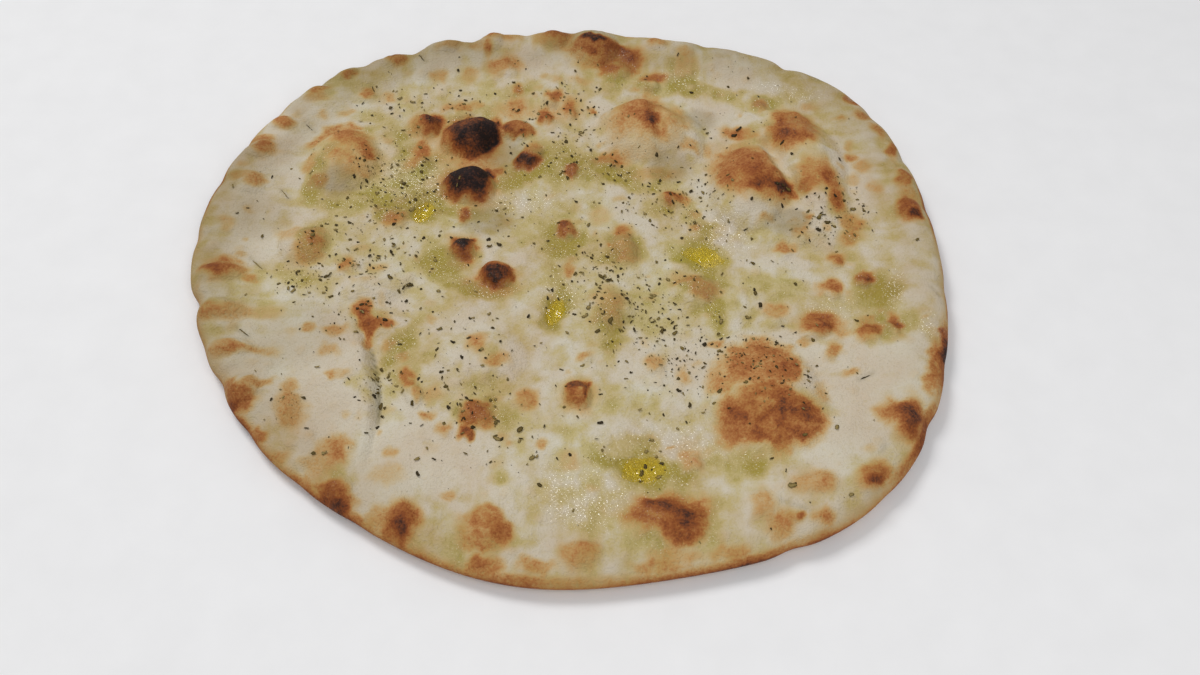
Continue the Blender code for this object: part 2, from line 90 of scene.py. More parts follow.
# Blisters: place, length, width, degrees that the length is turned, height, and how round the shoulder is
Blister = namedtuple("Blister", "x y long wide turn high shoulder")
BLISTERS = [Blister(*row) for row in (
    # Charred bubbles
    (-43.5, 37.7, 22.5, 18, 0, 11.0, 1.05), (-45, 67.5, 28, 21, 22, 9.5, 0.8),
    (-25, 72, 17, 13, -8, 4.5, 1.0), (-28, -10.5, 15, 13, 0, 6.0, 0.65), (-43, 2.5, 11, 12, 0, 5.5, 0.9),
    (-65, 74, 12, 13, 0, 5.5, 0.8), (-19, 55, 18, 10, 50, 4.5, 0.9), (6, -67, 11, 13, 0, 4.5, 0.7),
    # Large swollen domes
    (-99, 51.5, 33, 38, 0, 7.5, 1.0), (30, 74, 40, 44, 20, 9.5, 1.25), (48, 71, 22, 34, 8, 5.0, 1.2),
    (89, 43, 62, 70, -10, 3.0, 1.1), (76, 40, 35, 50, -14, 7.5, 0.8), (77, -66, 45, 52, 10, 6.0, 0.9),
    (40, -119, 27, 21, -8, 3.2, 0.8), (-107, 2, 22, 22, 0, 4.5, 1.1), (-77, -18, 32, 20, 12, 3.2, 1.2),
    (-31, -52, 36, 30, 0, 3.6, 1.2), (17, -26, 20, 27, 10, 3.8, 1.2), (51, -16, 17, 17, 0, 3.2, 1.0),
    (23, 5, 11, 21, 0, 3.4, 0.9),
    # Small bubbles in the middle
    (-1, 14, 8, 11, 15, 3.2, 0.9), (43, 34, 9, 9, 0, 3.0, 0.8), (0, 48, 5, 9, 0, 2.4, 1.0),
    (15, 54, 10, 7, 0, 1.8, 1.0), (-65, 52, 8, 12, 0, 2.6, 1.0), (-71, 16, 9, 10, 0, 2.2, 1.0),
    (-44, 18, 5, 6, 0, 1.4, 1.0), (-87, -9, 8, 7, 0, 1.8, 1.0), (-11, 92, 8, 9, 30, 2.8, 0.9),
    (-13, 80, 7, 8, 0, 2.8, 0.9), (-2, 85, 6, 9, 0, 2.4, 1.0), (8, 84, 4, 5, 0, 1.4, 1.0),
    (-50, 82, 10, 8, 0, 2.2, 1.0), (34, 105, 11, 8, -10, 3.0, 0.9), (84, 90, 7, 7, 0, 2.0, 0.9),
    (108, 1, 8, 7, 0, 2.0, 0.9), (119, -9, 7, 6, 0, 2.6, 0.8), (105, -15, 8, 7, 0, 2.0, 0.9),
    (87, 5, 8, 7, 0, 1.6, 1.0), (96, 13, 5, 6, 0, 1.4, 1.0), (82, -29, 9, 7, 0, 1.8, 0.9),
    (97, -33, 15, 10, 15, 3.0, 0.8), (117, -36, 11, 10, 30, 2.4, 0.9), (127, -33, 6, 9, 15, 2.4, 0.9),
    (103, -46, 7, 6, 0, 1.4, 1.0), (35, -54, 9, 8, 0, 1.6, 1.0), (8, -51, 7, 5, 0, 1.2, 1.0),
    (-55, -68, 9, 14, 20, 2.6, 0.9), (-32, -77, 17, 13, -35, 2.8, 0.9), (-33, -87, 6, 6, 0, 1.8, 0.9),
    (-14, -72, 11, 8, 0, 1.6, 1.0), (-42, -86, 7, 6, 0, 1.2, 1.0), (49, -94, 8, 8, 0, 1.8, 1.0),
    (-100, -75, 12, 22, 20, 2.0, 1.1),
    # Pillows of the rim, clockwise from the far left
    (-137, -14, 19, 11, 8, 3.0, 0.9), (-134, -34, 24, 11, 0, 2.6, 1.0), (-126, -52, 18, 10, 3, 2.4, 1.0),
    (-119, -71, 17, 13, 20, 2.8, 0.9), (-135, 34, 14, 12, 0, 2.2, 1.1), (-136, 53, 15, 13, 0, 2.6, 1.0),
    (-129, 71, 13, 10, 0, 2.4, 1.0), (-117, 90, 17, 11, 30, 2.4, 1.0), (-105, 104, 11, 10, 40, 2.2, 1.0),
    (-94, 90, 9, 8, 0, 1.6, 1.0), (-85, 114, 14, 13, 45, 2.6, 1.0), (-62, 126, 19, 13, 20, 2.8, 1.0),
    (-41, 130, 11, 18, -20, 2.6, 1.0), (-33, 113, 13, 11, 0, 2.2, 1.0), (-11, 133, 16, 13, 0, 3.4, 0.9),
    (8, 128, 24, 20, -20, 5.0, 0.9), (19, 114, 13, 14, -30, 2.8, 1.0), (36, 132, 12, 9, 0, 2.0, 1.0),
    (140, 64, 9, 14, 20, 1.8, 1.0), (142, 46, 11, 15, 20, 2.4, 1.0), (142, 29, 13, 13, 0, 3.0, 0.9),
    (127, -75, 16, 20, -20, 3.0, 0.9), (111, -101, 11, 14, -20, 2.4, 0.9),
    (92, -103, 17, 11, 0, 1.8, 1.0), (84, -115, 7, 7, 0, 1.2, 1.0), (71, -111, 15, 15, 0, 1.6, 1.1),
    (9, -132, 16, 13, 10, 2.2, 1.0), (-24, -122, 19, 17, -30, 1.8, 1.0),
    (-53, -121, 12, 17, 15, 2.0, 1.0), (-77, -110, 17, 12, -45, 2.2, 1.0),
)]

# Long swellings and valleys: start, bend, end, half width, and height, which is negative in a valley
Ridge = namedtuple("Ridge", "start bend end wide high")
RIDGES = (
    Ridge((84, 75), (109, 84), (104, 20), 7.2, 7.0),
    Ridge((86, 66), (90, 47), (99, 26), 2.6, -3.2),
    Ridge((36, 84), (35, 72), (39, 58), 2.2, -1.6),
    Ridge((68, 9), (88, 2), (106, 12), 3.5, -1.2),
    Ridge((20, 80), (28, 88), (35, 82), 4.5, 1.8),
    Ridge((-84, -27), (-78, -36), (-65, -39), 4.0, 2.2),
    Ridge((-1, 137), (6, 141), (13, 138), 2.2, 1.8),
)
# Along a ridge its height is a half sine less this share at each end, and across it a dome of this power
RIDGE_ENDS = 0.15
RIDGE_SHOULDER = 1.4

# Fold on the left: its foot is the curve x = FOLD_X - (y - FOLD_Y)^2 / FOLD_BOW, high on the left of it
FOLD_X = -66.0
FOLD_Y = -85.0
FOLD_BOW = 180.0
FOLD_NEAR = -104.0
FOLD_FAR = -24.0
FOLD_HIGH = 3.8
FOLD_STEEP = 4.5
FOLD_FADE = 27.0
FOLD_SHOULDER = 1.2
FOLD_TROUGH = 1.2
FOLD_TROUGH_WIDE = 1.1

# Oil pools: place, length and width of the wet outline, turn, and depth of the pan under it
Pool = namedtuple("Pool", "x y long wide turn deep name")
POOLS = (
    Pool(30, -98, 18, 11, 8, 2.2, "oil_pool_front"),
    Pool(-4, -28, 15, 8, 78, 2.0, "oil_pool_middle"),
    Pool(55, 3, 19, 11, -24, 2.0, "oil_pool_right"),
    Pool(-61, 23, 13, 8, 70, 1.8, "oil_pool_left"),
)
PAN_SPREAD = 1.35
PAN_LEVEL = 7.6
# Corners along one side of the lattice that rolling noise is drawn on
LATTICE = 97


def eased(t):
    """0 below 0, 1 above 1, and an S curve between."""
    t = np.clip(t, 0.0, 1.0)
    return t * t * (3.0 - 2.0 * t)


def swell(x, y, cell, seed):
    """Rolling noise from -1 to 1: random heights on a square lattice, eased between its corners."""
    lattice = np.random.default_rng(seed).uniform(-1.0, 1.0, (LATTICE, LATTICE))
    u = x / cell + LATTICE // 2
    v = y / cell + LATTICE // 2
    i = np.clip(np.floor(u).astype(int), 0, LATTICE - 2)
    j = np.clip(np.floor(v).astype(int), 0, LATTICE - 2)
    a = eased(u - i)
    b = eased(v - j)
    near = lattice[i, j] * (1 - a) + lattice[i + 1, j] * a
    far = lattice[i, j + 1] * (1 - a) + lattice[i + 1, j + 1] * a
    return near * (1 - b) + far * b


def wandered(x, y, waves):
    """Places pushed sideways by rolling noise: one push for each wave."""
    wx, wy = x, y
    for far, cell, seed_x, seed_y in waves:
        wx = wx + far * swell(x, y, cell, seed_x)
        wy = wy + far * swell(x, y, cell, seed_y)
    return wx, wy


def turned(x, y, mark):
    """Coordinates along a mark's length and width, 1 at its outline. It opens x, y, long, wide, turn."""
    middle_x, middle_y, long, wide, turn = mark[:5]
    c = math.cos(math.radians(turn))
    s = math.sin(math.radians(turn))
    along = ((x - middle_x) * c + (y - middle_y) * s) / (long / 2)
    across = ((y - middle_y) * c - (x - middle_x) * s) / (wide / 2)
    return along, across


def degrees_between(angle, turn):
    """Signed degrees from a pinch to each angle, from -180 to 180."""
    return (np.degrees(angle) - turn + 180.0) % 360.0 - 180.0


def reach(angle):
    """Distance of the edge from the middle: the Fourier series of RIM_REACH, notched by the pinches."""
    count = len(RIM_REACH)
    terms = np.fft.rfft(RIM_REACH) / count
    edge = np.full_like(angle, terms[0].real)
    for k in range(1, len(terms)):
        share = 1.0 if 2 * k == count else 2.0
        edge += share * (terms[k] * np.exp(1j * k * angle)).real
    for pinch in PINCHES:
        off = np.radians(degrees_between(angle, pinch.turn)) * edge
        edge -= pinch.notch * np.exp(-((off / NOTCH_WIDE) ** 2))
    return edge


def curve_distance(x, y, ridge):
    """Distance to the ridge's quadratic curve, from points along it, and the share of the way along."""
    t = np.linspace(0.0, 1.0, 33)
    start, bend, end = (np.array(p, float) for p in ridge[:3])
    points = np.outer((1 - t) ** 2, start) + np.outer(2 * t * (1 - t), bend) + np.outer(t * t, end)
    far = np.full(x.shape, 1e9)
    share = np.zeros(x.shape)
    for place, (px, py) in zip(t, points):
        gap = np.hypot(x - px, y - py)
        share = np.where(gap < far, place, share)
        far = np.minimum(far, gap)
    return far, share


def left_of_fold(x, y):
    """How far a place lies to the left of the fold's foot."""
    return FOLD_X - (y - FOLD_Y) ** 2 / FOLD_BOW - x


def fold_height(x, y):
    """The folded-over flap: it climbs steeply left of the foot curve and fades out further left."""
    left = left_of_fold(x, y)
    middle = (FOLD_NEAR + FOLD_FAR) / 2
    half = (FOLD_FAR - FOLD_NEAR) / 2
    window = np.clip(1 - ((y - middle) / half) ** 2, 0, 1) ** FOLD_SHOULDER
    rise = eased(left / FOLD_STEEP) * np.exp(-((np.maximum(left, 0) / FOLD_FADE) ** 2))
    trough = np.exp(-((left / FOLD_TROUGH_WIDE) ** 2))
    return window * (FOLD_HIGH * rise - FOLD_TROUGH * trough)


def top_height(x, y):
    """Height of the top crust over the table, before the edge rounds it off."""
    angle = np.arctan2(y, x)
    radius = np.hypot(x, y)
    inward = reach(angle) - radius
    front = eased((RIM_FRONT[0] - y) / RIM_FRONT[1])
    rise = RIM_RISE + (RIM_RISE_FRONT - RIM_RISE) * front
    height = SHEET_THICK + rise * eased((RIM_WIDE - inward) / (RIM_WIDE - RIM_CREST_IN))
    for cell, high, seed in SWELLS:
        height += high * swell(x, y, cell, seed)
    for pinch in PINCHES:
        off = degrees_between(angle, pinch.turn)
        sideways = radius * np.sin(np.radians(off)) + 1e3 * (np.abs(off) > 90)
        along = eased(GROOVE_END - inward / pinch.groove)
        height -= GROOVE_DEEP * along * np.exp(-((sideways / GROOVE_WIDE) ** 2))
    wx, wy = wandered(x, y, BLISTER_WANDER)
    for blister in BLISTERS:
        along, across = turned(wx, wy, blister)
        height += blister.high * np.clip(1 - along**2 - across**2, 0, 1) ** blister.shoulder
    for ridge in RIDGES:
        gap, share = curve_distance(wx, wy, ridge)
        ends = np.sin(np.pi * (RIDGE_ENDS + (1 - 2 * RIDGE_ENDS) * share))
        height += ridge.high * ends * np.clip(1 - (gap / (2 * ridge.wide)) ** 2, 0, 1) ** RIDGE_SHOULDER
    height += fold_height(x, y)
    for pool in POOLS:
        along, across = turned(x, y, pool)
        q = np.hypot(along, across) / PAN_SPREAD
        pan = PAN_LEVEL - pool.deep * np.clip(1 - q * q, 0, 1) ** 2
        height += (pan - height) * np.exp(-(q**4))
    return height


# Fine skin: size of a ripple, its height and seed
RIPPLES = ((6.5, 0.34, 41), (3.6, 0.20, 42), (2.2, 0.10, 43))
# Pin bubbles under the skin: how many, how far out they lie, their widths and heights
PIN_BUBBLES = 620
PIN_REACH = 146
PIN_WIDTHS = (2.6, 6.0)
PIN_HEIGHTS = (0.15, 0.75)
PIN_SEED = 61
# Slits that the fingertips left in the rim: start, end
SLITS = (
    ((-72.5, 119), (-69.5, 114)), ((-86.5, 118), (-85, 115)), ((-92.5, 97.5), (-90.5, 94)),
    ((-119, 73), (-113.5, 68)), ((-123, 33), (-117.5, 27.5)), ((-142, 33), (-141, 30)),
    ((-127, -6), (-121, -11.5)), ((-125.5, -42), (-119.5, -46)), ((112, -57), (118, -53.5)),
    ((116, -90), (118, -87)), ((145, -13), (148, -17)), ((-147, 37), (-149.5, 30)),
    ((79, -110), (88, -113.5)),
)
SLIT_WIDE = 0.9
SLIT_DEEP = 0.6


def random_place(draw, out):
    """A place drawn evenly over a disc of that radius round the middle."""
    turn = draw.uniform(0, 2 * math.pi)
    radius = out * math.sqrt(draw.uniform())
    return radius * math.cos(turn), radius * math.sin(turn)


def pin_bubbles(x, y):
    """Small low domes at seeded places: height times (1 - q^2), q being the share of the radius."""
    draw = np.random.default_rng(PIN_SEED)
    height = np.zeros_like(x)
    for _ in range(PIN_BUBBLES):
        pin_x, pin_y = random_place(draw, PIN_REACH)
        wide = draw.uniform(*PIN_WIDTHS)
        high = draw.uniform(*PIN_HEIGHTS) * wide / PIN_WIDTHS[1]
        q = np.hypot(x - pin_x, y - pin_y) / (wide / 2)
        height += high * np.clip(1 - q * q, 0, 1)
    return height


def slit_depth(x, y):
    """0 away from the slits and 1 along their lines, falling off as a bell over SLIT_WIDE."""
    deep = np.zeros_like(x)
    for (ax, ay), (bx, by) in SLITS:
        length = math.hypot(bx - ax, by - ay)
        along = ((x - ax) * (bx - ax) + (y - ay) * (by - ay)) / length**2
        near = np.clip(along, 0, 1)
        gap = np.hypot(x - ax - near * (bx - ax), y - ay - near * (by - ay))
        deep = np.maximum(deep, np.exp(-((gap / SLIT_WIDE) ** 2)))
    return deep


def skin_ripples(x, y):
    """Ripples of the skin: three sizes of rolling noise."""
    return sum(high * swell(x, y, cell, seed) for cell, high, seed in RIPPLES)


def crust_height(x, y):
    """The top crust: the sheet's height, plus ripples of the skin and pin bubbles, less the slits."""
    return top_height(x, y) + skin_ripples(x, y) + pin_bubbles(x, y) - SLIT_DEEP * slit_depth(x, y)


# Mesh of the bread: squares along one side of the top, rings in its rounded edge, and the same below
TOP_SQUARES = 276
TOP_EDGE_RINGS = 14
UNDER_COARSER = 3
UNDER_EDGE_RINGS = 5
UNDER_SEAM_IN = 3.0


def round_grid(squares):
    """Ring (0 at the middle, 1 at the edge) and angle for the corners of a square grid.

    The concentric map turns each square ring of the grid into a circle: in the east and west quarters the
    angle is up / across times 45 degrees, and in the others 90 degrees less across / up times 45 degrees.
    """
    line = np.linspace(-1.0, 1.0, squares + 1)
    across, up = (side.ravel() for side in np.meshgrid(line, line, indexing="ij"))
    ring = np.maximum(np.abs(across), np.abs(up))
    wide = np.abs(across) >= np.abs(up)
    slope = np.where(wide, up / np.where(across == 0, 1, across), across / np.where(up == 0, 1, up))
    angle = np.where(wide, slope * math.pi / 4, math.pi / 2 - slope * math.pi / 4)
    angle = angle + np.where(np.where(wide, across, up) < 0, math.pi, 0.0)
    return ring, np.where(ring > 1e-9, angle, 0.0)


def grid_squares(squares):
    """Corner numbers of each square of the grid, anticlockwise seen from above."""
    i, j = (side.ravel() for side in np.meshgrid(np.arange(squares), np.arange(squares), indexing="ij"))
    first = i * (squares + 1) + j
    return np.stack([first, first + squares + 1, first + squares + 2, first + 1], axis=1)


def grid_edge(squares):
    """Corner numbers round the grid's edge, anticlockwise from its lowest left corner."""
    step = np.arange(squares)
    row = squares + 1
    return np.concatenate(
        [step * row, squares * row + step, (squares - step) * row + squares, squares - step]
    )


def bread_points():
    """Vertices and faces of the closed bread.

    Top: the radius grows evenly with the ring up to the edge band, and the last rings follow a quarter
    ellipse down to the widest line. Underside: rings of the mirrored curve down to the table, a seam to a
    grid with a third of the squares, and that flat grid.
    """
    ring, angle = round_grid(TOP_SQUARES)
    last = 1 - 2 * TOP_EDGE_RINGS / TOP_SQUARES
    lift = np.clip((ring - last) / (1 - last), 0, 1) * math.pi / 2
    edge = reach(angle)
    curled = edge - EDGE_ROUND * (1 - np.sin(lift))
    radius = np.where(ring < last, ring / last * (edge - EDGE_ROUND), curled)
    x = radius * np.cos(angle)
    y = radius * np.sin(angle)
    z = WIDEST_UP + (crust_height(x, y) - WIDEST_UP) * np.cos(lift)
    places = [np.stack([x, y, z], axis=1)]
    faces = [grid_squares(TOP_SQUARES)]

    rim = grid_edge(TOP_SQUARES)
    rim_angle = angle[rim]
    rim_edge = edge[rim]
    count = len(rim)
    above = rim
    start = len(ring)
    for k in range(1, UNDER_EDGE_RINGS + 1):
        low = math.pi / 2 * (1 - k / UNDER_EDGE_RINGS)
        out = rim_edge - UNDER_ROUND * (1 - math.sin(low))
        level = np.full(count, WIDEST_UP * (1 - math.cos(low)))
        places.append(np.stack([out * np.cos(rim_angle), out * np.sin(rim_angle), level], axis=1))
        below = start + np.arange(count)
        faces.append(np.stack([above, below, np.roll(below, -1), np.roll(above, -1)], axis=1))
        above = below
        start += count

    squares = TOP_SQUARES // UNDER_COARSER
    ring, angle = round_grid(squares)
    radius = ring * (reach(angle) - UNDER_ROUND - UNDER_SEAM_IN)
    table = np.zeros_like(radius)
    places.append(np.stack([radius * np.cos(angle), radius * np.sin(angle), table], axis=1))
    faces.append(start + grid_squares(squares)[:, ::-1])
    inner = start + grid_edge(squares)
    following = np.roll(inner, -1)
    outer = np.append(above, above[0])
    a, b, c, d = (outer[k : k + count : UNDER_COARSER][: len(inner)] for k in range(4))
    seam = ((inner, b, a), (inner, c, b), (inner, following, c), (following, d, c))
    thirds = np.concatenate([np.stack(corners, axis=1) for corners in seam])
    return np.concatenate(places), np.concatenate(faces).tolist() + thirds.tolist()


def mesh_piece(name, places, faces, material):
    """One smooth object from vertices in millimetres and faces, standing at the origin."""
    mesh = bpy.data.meshes.new(name)
    mesh.from_pydata(places * MM, [], faces)
    mesh.shade_smooth()
    mesh.materials.append(material)
    piece = bpy.data.objects.new(name, mesh)
    bpy.context.scene.collection.objects.link(piece)
    return piece


def note_on_points(piece, name, values):
    """Stores one number for each vertex, for the material to read."""
    layer = piece.data.attributes.new(name, "FLOAT", "POINT")
    layer.data.foreach_set("value", values.astype(np.float32))


# Where the crust browned: x, y, length, width, turn, depth of the bake, softness of the outline.
# 0.3 is golden, 0.5 brown, 0.75 dark brown and 1 charred. A depth below 0 is a pale place in a brown one
BROWNED = np.array((
    # Charred bubbles
    (-44, 37.5, 23.5, 14.5, -8, 0.6, 0.25), (-41.5, 39.5, 22, 14.5, 43, 1.0, 0.3),
    (-40, 40.5, 18.5, 10.5, 60, 0.6, 0.5), (-50, 32, 10.5, 5, -13, 0.4, 0.5),
    (-44.5, 67.5, 26.5, 23.5, -32, 0.68, 0.25), (-37, 70.5, 21.5, 8.5, 84, 0.8, 0.45),
    (-41.5, 66.5, 15.5, 7.5, 26, 0.5, 0.5), (-44.5, 56.5, 7, 3.5, 5, 0.62, 0.5),
    (-49, 61, 11, 7, -19, 0.56, 0.6), (-25.5, 72.5, 17, 10.5, -15, 0.6, 0.45),
    (-28.5, 71.5, 8, 4.5, -46, 0.62, 0.6), (-22.5, 68, 5.5, 3, 18, 0.6, 0.6),
    (-63.5, 75, 15, 11, 75, 0.6, 0.35), (-63.5, 76.5, 11, 6.5, 70, 0.66, 0.5),
    (-64, 70, 5.5, 2.5, 17, 0.56, 0.6), (-18.5, 52, 13.5, 7.5, 21, 0.6, 0.35),
    (-19, 52.5, 11.5, 4, 23, 0.74, 0.45), (-17.5, 59, 11, 7.5, 81, 0.4, 0.5),
    (0, 47, 9, 5, -85, 0.54, 0.4), (-66, 57, 14, 8.5, -82, 0.38, 0.55), (-31, 47.5, 7, 5, -81, 0.4, 0.55),
    (-44, 21, 8, 5.5, -84, 0.46, 0.5), (6.5, -67, 13.5, 10, 80, 0.52, 0.3),
    (6.5, -68, 16.5, 13.5, 89, 0.3, 0.5), (6, -64.5, 9, 7.5, 28, 0.56, 0.5),
    (10, -67, 10, 2.5, 82, 0.732, 0.5), (3.5, -68, 5, 3.5, -67, 0.5, 0.6),
    (7, -69.5, 3.5, 3, 75, -0.14, 0.6), (-42.5, 3, 14.5, 10.5, -82, 0.6, 0.3),
    (-42.5, 2.5, 18, 13, -79, 0.32, 0.5), (-42, 4, 9.5, 6.5, 87, 0.94, 0.45),
    (-28, -11.5, 15.5, 12.5, 3, 0.58, 0.3), (-27.5, -14, 19, 16, 1, 0.3, 0.5),
    (-27.5, -12, 12, 7.5, 16, 0.82, 0.4), (-43.5, 36, 26, 19.5, -8, 0.34, 0.5),
    (-44.5, 60.5, 34.5, 28.5, -64, 0.34, 0.5), (-44, 31.5, 19, 5, -4, 0.66, 0.5),
    (-44.5, 39.5, 25, 17, -24, 0.56, 0.35), (-44.5, 67.5, 26.5, 23.5, -32, 0.62, 0.4),
    (-39, 65, 17, 10.5, 47, 0.56, 0.5), (-48.5, 64.5, 11, 8, -2, 0.5, 0.6),
    # Pale mound with a tan crest
    (29, 85, 26, 19.5, 48, 0.4, 0.4), (33.5, 73.5, 9, 10, -20, 0.6, 0.45),
    (34.5, 72, 4.5, 6.5, -10, 0.7, 0.5), (34, 94, 7, 16.5, 1, 0.34, 0.45),
    (28, 73, 30, 21, -11, 0.3, 0.5), (40, 70, 16, 14, 0, 0.26, 0.5), (31, 77, 14, 12, 0, 0.32, 0.5),
    (30, 66, 34, 13.5, -5, 0.13, 0.5), (32, 59, 16, 8, 0, 0.17, 0.5), (38, 69, 8, 8, 0, 0.36, 0.5),
    (43, 84, 12.5, 14.5, 40, 0.32, 0.45), (44.5, 73.5, 13.5, 5.5, 16, 0.26, 0.5),
    (51, 64, 7.5, 6, 11, 0.34, 0.5),
    # Big double blister
    (74.5, 48, 36.5, 28, -67, 0.44, 0.4), (83.5, 39, 25, 21, -23, 0.44, 0.4),
    (75.5, 52.5, 29.5, 15.5, -82, 0.38, 0.55), (65.5, 41, 17.5, 9, -80, 0.36, 0.55),
    (84, 37, 22, 7.5, 9, 0.62, 0.5), (89.5, 37.5, 11, 7.5, 35, 0.74, 0.5),
    (94.5, 35.5, 7, 4.5, 68, 0.6, 0.55), (78, 34.5, 8, 5, -4, 0.52, 0.6),
    (96.5, 74, 29.5, 23, 89, 0.5, 0.4), (93.5, 67.5, 14, 6, -32, 0.52, 0.55),
    (92, 76.5, 8.5, 6.5, -83, 0.52, 0.6), (100.5, 65, 7.5, 6, -45, 0.5, 0.6),
    (103.5, 45.5, 19.5, 15, 81, 0.44, 0.45), (100.5, 40, 9.5, 7, -21, 0.4, 0.55),
    (111, 39.5, 27, 8.5, -77, 0.46, 0.5), (109.5, 44, 8.5, 4.5, 72, 0.48, 0.6),
    (112.5, 31.5, 9.5, 5.5, 81, 0.48, 0.6), (73.5, 73, 17.5, 7, -23, 0.42, 0.5),
    (72.5, 73.5, 7.5, 3, -26, 0.4, 0.6), (81.5, 21, 7.5, 4, 25, 0.32, 0.6),
    (98.5, 23.5, 5, 4, 77, 0.38, 0.6), (95.5, 16, 6.5, 5.5, -26, 0.38, 0.6),
    (89.5, 9, 8.5, 6, 15, 0.42, 0.55), (121, 60.5, 6.5, 6, 43, 0.36, 0.6),
    (126, 54, 8, 7.5, -83, 0.26, 0.6), (116.5, 14.5, 10, 8, 29, 0.34, 0.6),
    (120.5, 22, 7, 6, 45, 0.3, 0.6), (59, 64, 7, 5, 63, 0.3, 0.6),
    # Low right blister
    (75, -52, 28, 26, -8, 0.54, 0.4), (75.5, -41, 12, 9, 2, 0.38, 0.5), (86, -54, 8, 18, -9, 0.5, 0.45),
    (66, -56.5, 13.5, 13.5, -11, 0.4, 0.5), (60, -55.5, 9, 11, -17, 0.28, 0.5),
    (78.5, -66, 16, 9, 2, 0.44, 0.45), (67, -77, 19, 19, 0, 0.54, 0.35), (77, -80, 14, 18, 0, 0.54, 0.4),
    (75, -68, 18, 12, 0, 0.48, 0.4), (66, -75, 9, 7, -10, 0.6, 0.45), (72, -84.5, 9, 6, -7, 0.6, 0.45),
    (63, -70.5, 9, 7, -13, 0.42, 0.5), (86, -77, 22, 21, 0, 0.58, 0.35), (82.5, -75, 7, 13, 1, 0.5, 0.6),
    (80, -87.5, 10, 7, -1, 0.58, 0.6), (89.5, -75.5, 9.5, 8, 9, 0.62, 0.45),
    (87.5, -83, 8, 5, 5, 0.6, 0.5), (75.5, -76.5, 8, 5.5, -3, 0.56, 0.5),
    (75.5, -72.5, 5, 5.5, -1, -0.16, 0.5), (78, -78.5, 3, 5.5, -4, -0.12, 0.5),
    # Front blister
    (38.5, -115, 29, 14.5, 11, 0.53, 0.4), (43.5, -122.5, 16.5, 12, 10, 0.54, 0.4),
    (31.5, -116, 10.5, 9, -77, 0.46, 0.5), (48.5, -115, 12, 8.5, 76, 0.47, 0.5),
    (36.5, -113.5, 16, 7.5, -20, 0.58, 0.6), (43, -117, 14, 9, -43, 0.58, 0.6),
    (33, -111, 6.5, 4.5, -21, 0.54, 0.6), (44.5, -125, 7, 6, 18, 0.52, 0.6),
    (40.5, -118.5, 9, 2, -38, -0.16, 0.6), (47, -109.5, 7, 1.5, -43, -0.14, 0.6),
    (33.5, -117.5, 5, 1.5, -39, -0.14, 0.6), (47.5, -120, 13.5, 11, 35, 0.54, 0.45),
    (36.5, -112.5, 10.5, 5, -14, 0.52, 0.6), (45.5, -115.5, 9.5, 3.5, -46, 0.56, 0.6),
    (6, -65, 8.5, 6.5, 19, 0.6, 0.5),
    # Domes on the left and in the middle
    (-96.5, 62, 20, 14.5, -8, 0.44, 0.45), (-89.5, 55, 9.5, 9.5, 49, 0.48, 0.45),
    (-87.5, 51.5, 5, 4.5, 29, 0.5, 0.45), (-103, 68.5, 14, 8, 14, 0.42, 0.45),
    (-111.5, 62, 7.5, 11.5, -43, 0.38, 0.45), (-112, 48, 5.5, 11.5, -26, 0.34, 0.45),
    (-96, 48.5, 14.5, 10, 8, 0.34, 0.45), (-92.5, 42.5, 13.5, 6, 14, 0.28, 0.5),
    (-107.5, 37, 8, 5.5, -13, 0.3, 0.5), (-88, 41.5, 4, 2.5, 23, 0.34, 0.45),
    (-97, 72.5, 7, 2.5, -18, 0.4, 0.45), (-103.5, 5, 11, 10.5, 17, 0.34, 0.55),
    (-102, 1.5, 7.5, 7.5, 21, 0.38, 0.55), (-113.5, 6.5, 12, 7.5, -24, 0.26, 0.5),
    (-104, -3.5, 12.5, 14, 9, 0.3, 0.45), (23, 13, 9, 11, 3, 0.38, 0.5),
    (23, 2.5, 11, 12.5, 11, 0.28, 0.55), (24, -0.5, 7, 5.5, 4, 0.32, 0.55), (22, 14.5, 5, 6, 3, 0.5, 0.5),
    (18, 7, 6.5, 1.5, -57, 0.46, 0.45), (17, -24.5, 11, 17, 2, 0.26, 0.5),
    (18, -32.5, 8, 6, 5, 0.22, 0.5), (55, -16, 12, 9, -9, 0.34, 0.45),
    (48, -11, 14.5, 8, -19, 0.28, 0.55), (52, -9.5, 6, 5.5, -48, 0.34, 0.55),
    # Gold and orange round the brown
    (60, -62, 12, 10, 0, 0.34, 0.5), (62, -84, 10, 8, 0, 0.34, 0.5), (80, -56, 8, 8, 0, 0.44, 0.5),
    (97, -64, 6, 10, 0, 0.3, 0.5), (42, -132, 18, 6, 0, 0.26, 0.5), (-41, 134, 8, 10, 0, 0.36, 0.5),
    (-25, 86, 26, 12, 0, 0.24, 0.5), (-5, 88, 22, 18, 0, 0.22, 0.6), (-95, 52, 26, 28, 0, 0.26, 0.5),
    (-24, -129, 18, 8, 0, 0.42, 0.4), (-54, -127, 12, 10, 0, 0.5, 0.4),
    (-78, -117, 14, 9, -30, 0.58, 0.4), (-65, 74, 16, 17, 0, 0.34, 0.4), (33, 76, 26, 16, 0, 0.32, 0.5),
    (46, 77, 14, 14, 0, 0.28, 0.5), (34, 48, 24, 8, 0, 0.2, 0.6), (20, 56, 16, 10, 0, 0.26, 0.6),
    (-89, 53, 7, 8, 0, 0.48, 0.5),
    # Small bubbles
    (-1, 14.5, 8.5, 11.5, 25, 0.56, 0.35), (-2, 15.5, 5, 5, 0, 0.62, 0.4), (43, 34, 10, 9, 0, 0.48, 0.4),
    (47, 33, 6, 6, 0, 0.42, 0.5), (43, 35.5, 9, 3.5, 0, 0.56, 0.4), (0, 47.5, 6, 10.5, 0, 0.5, 0.35),
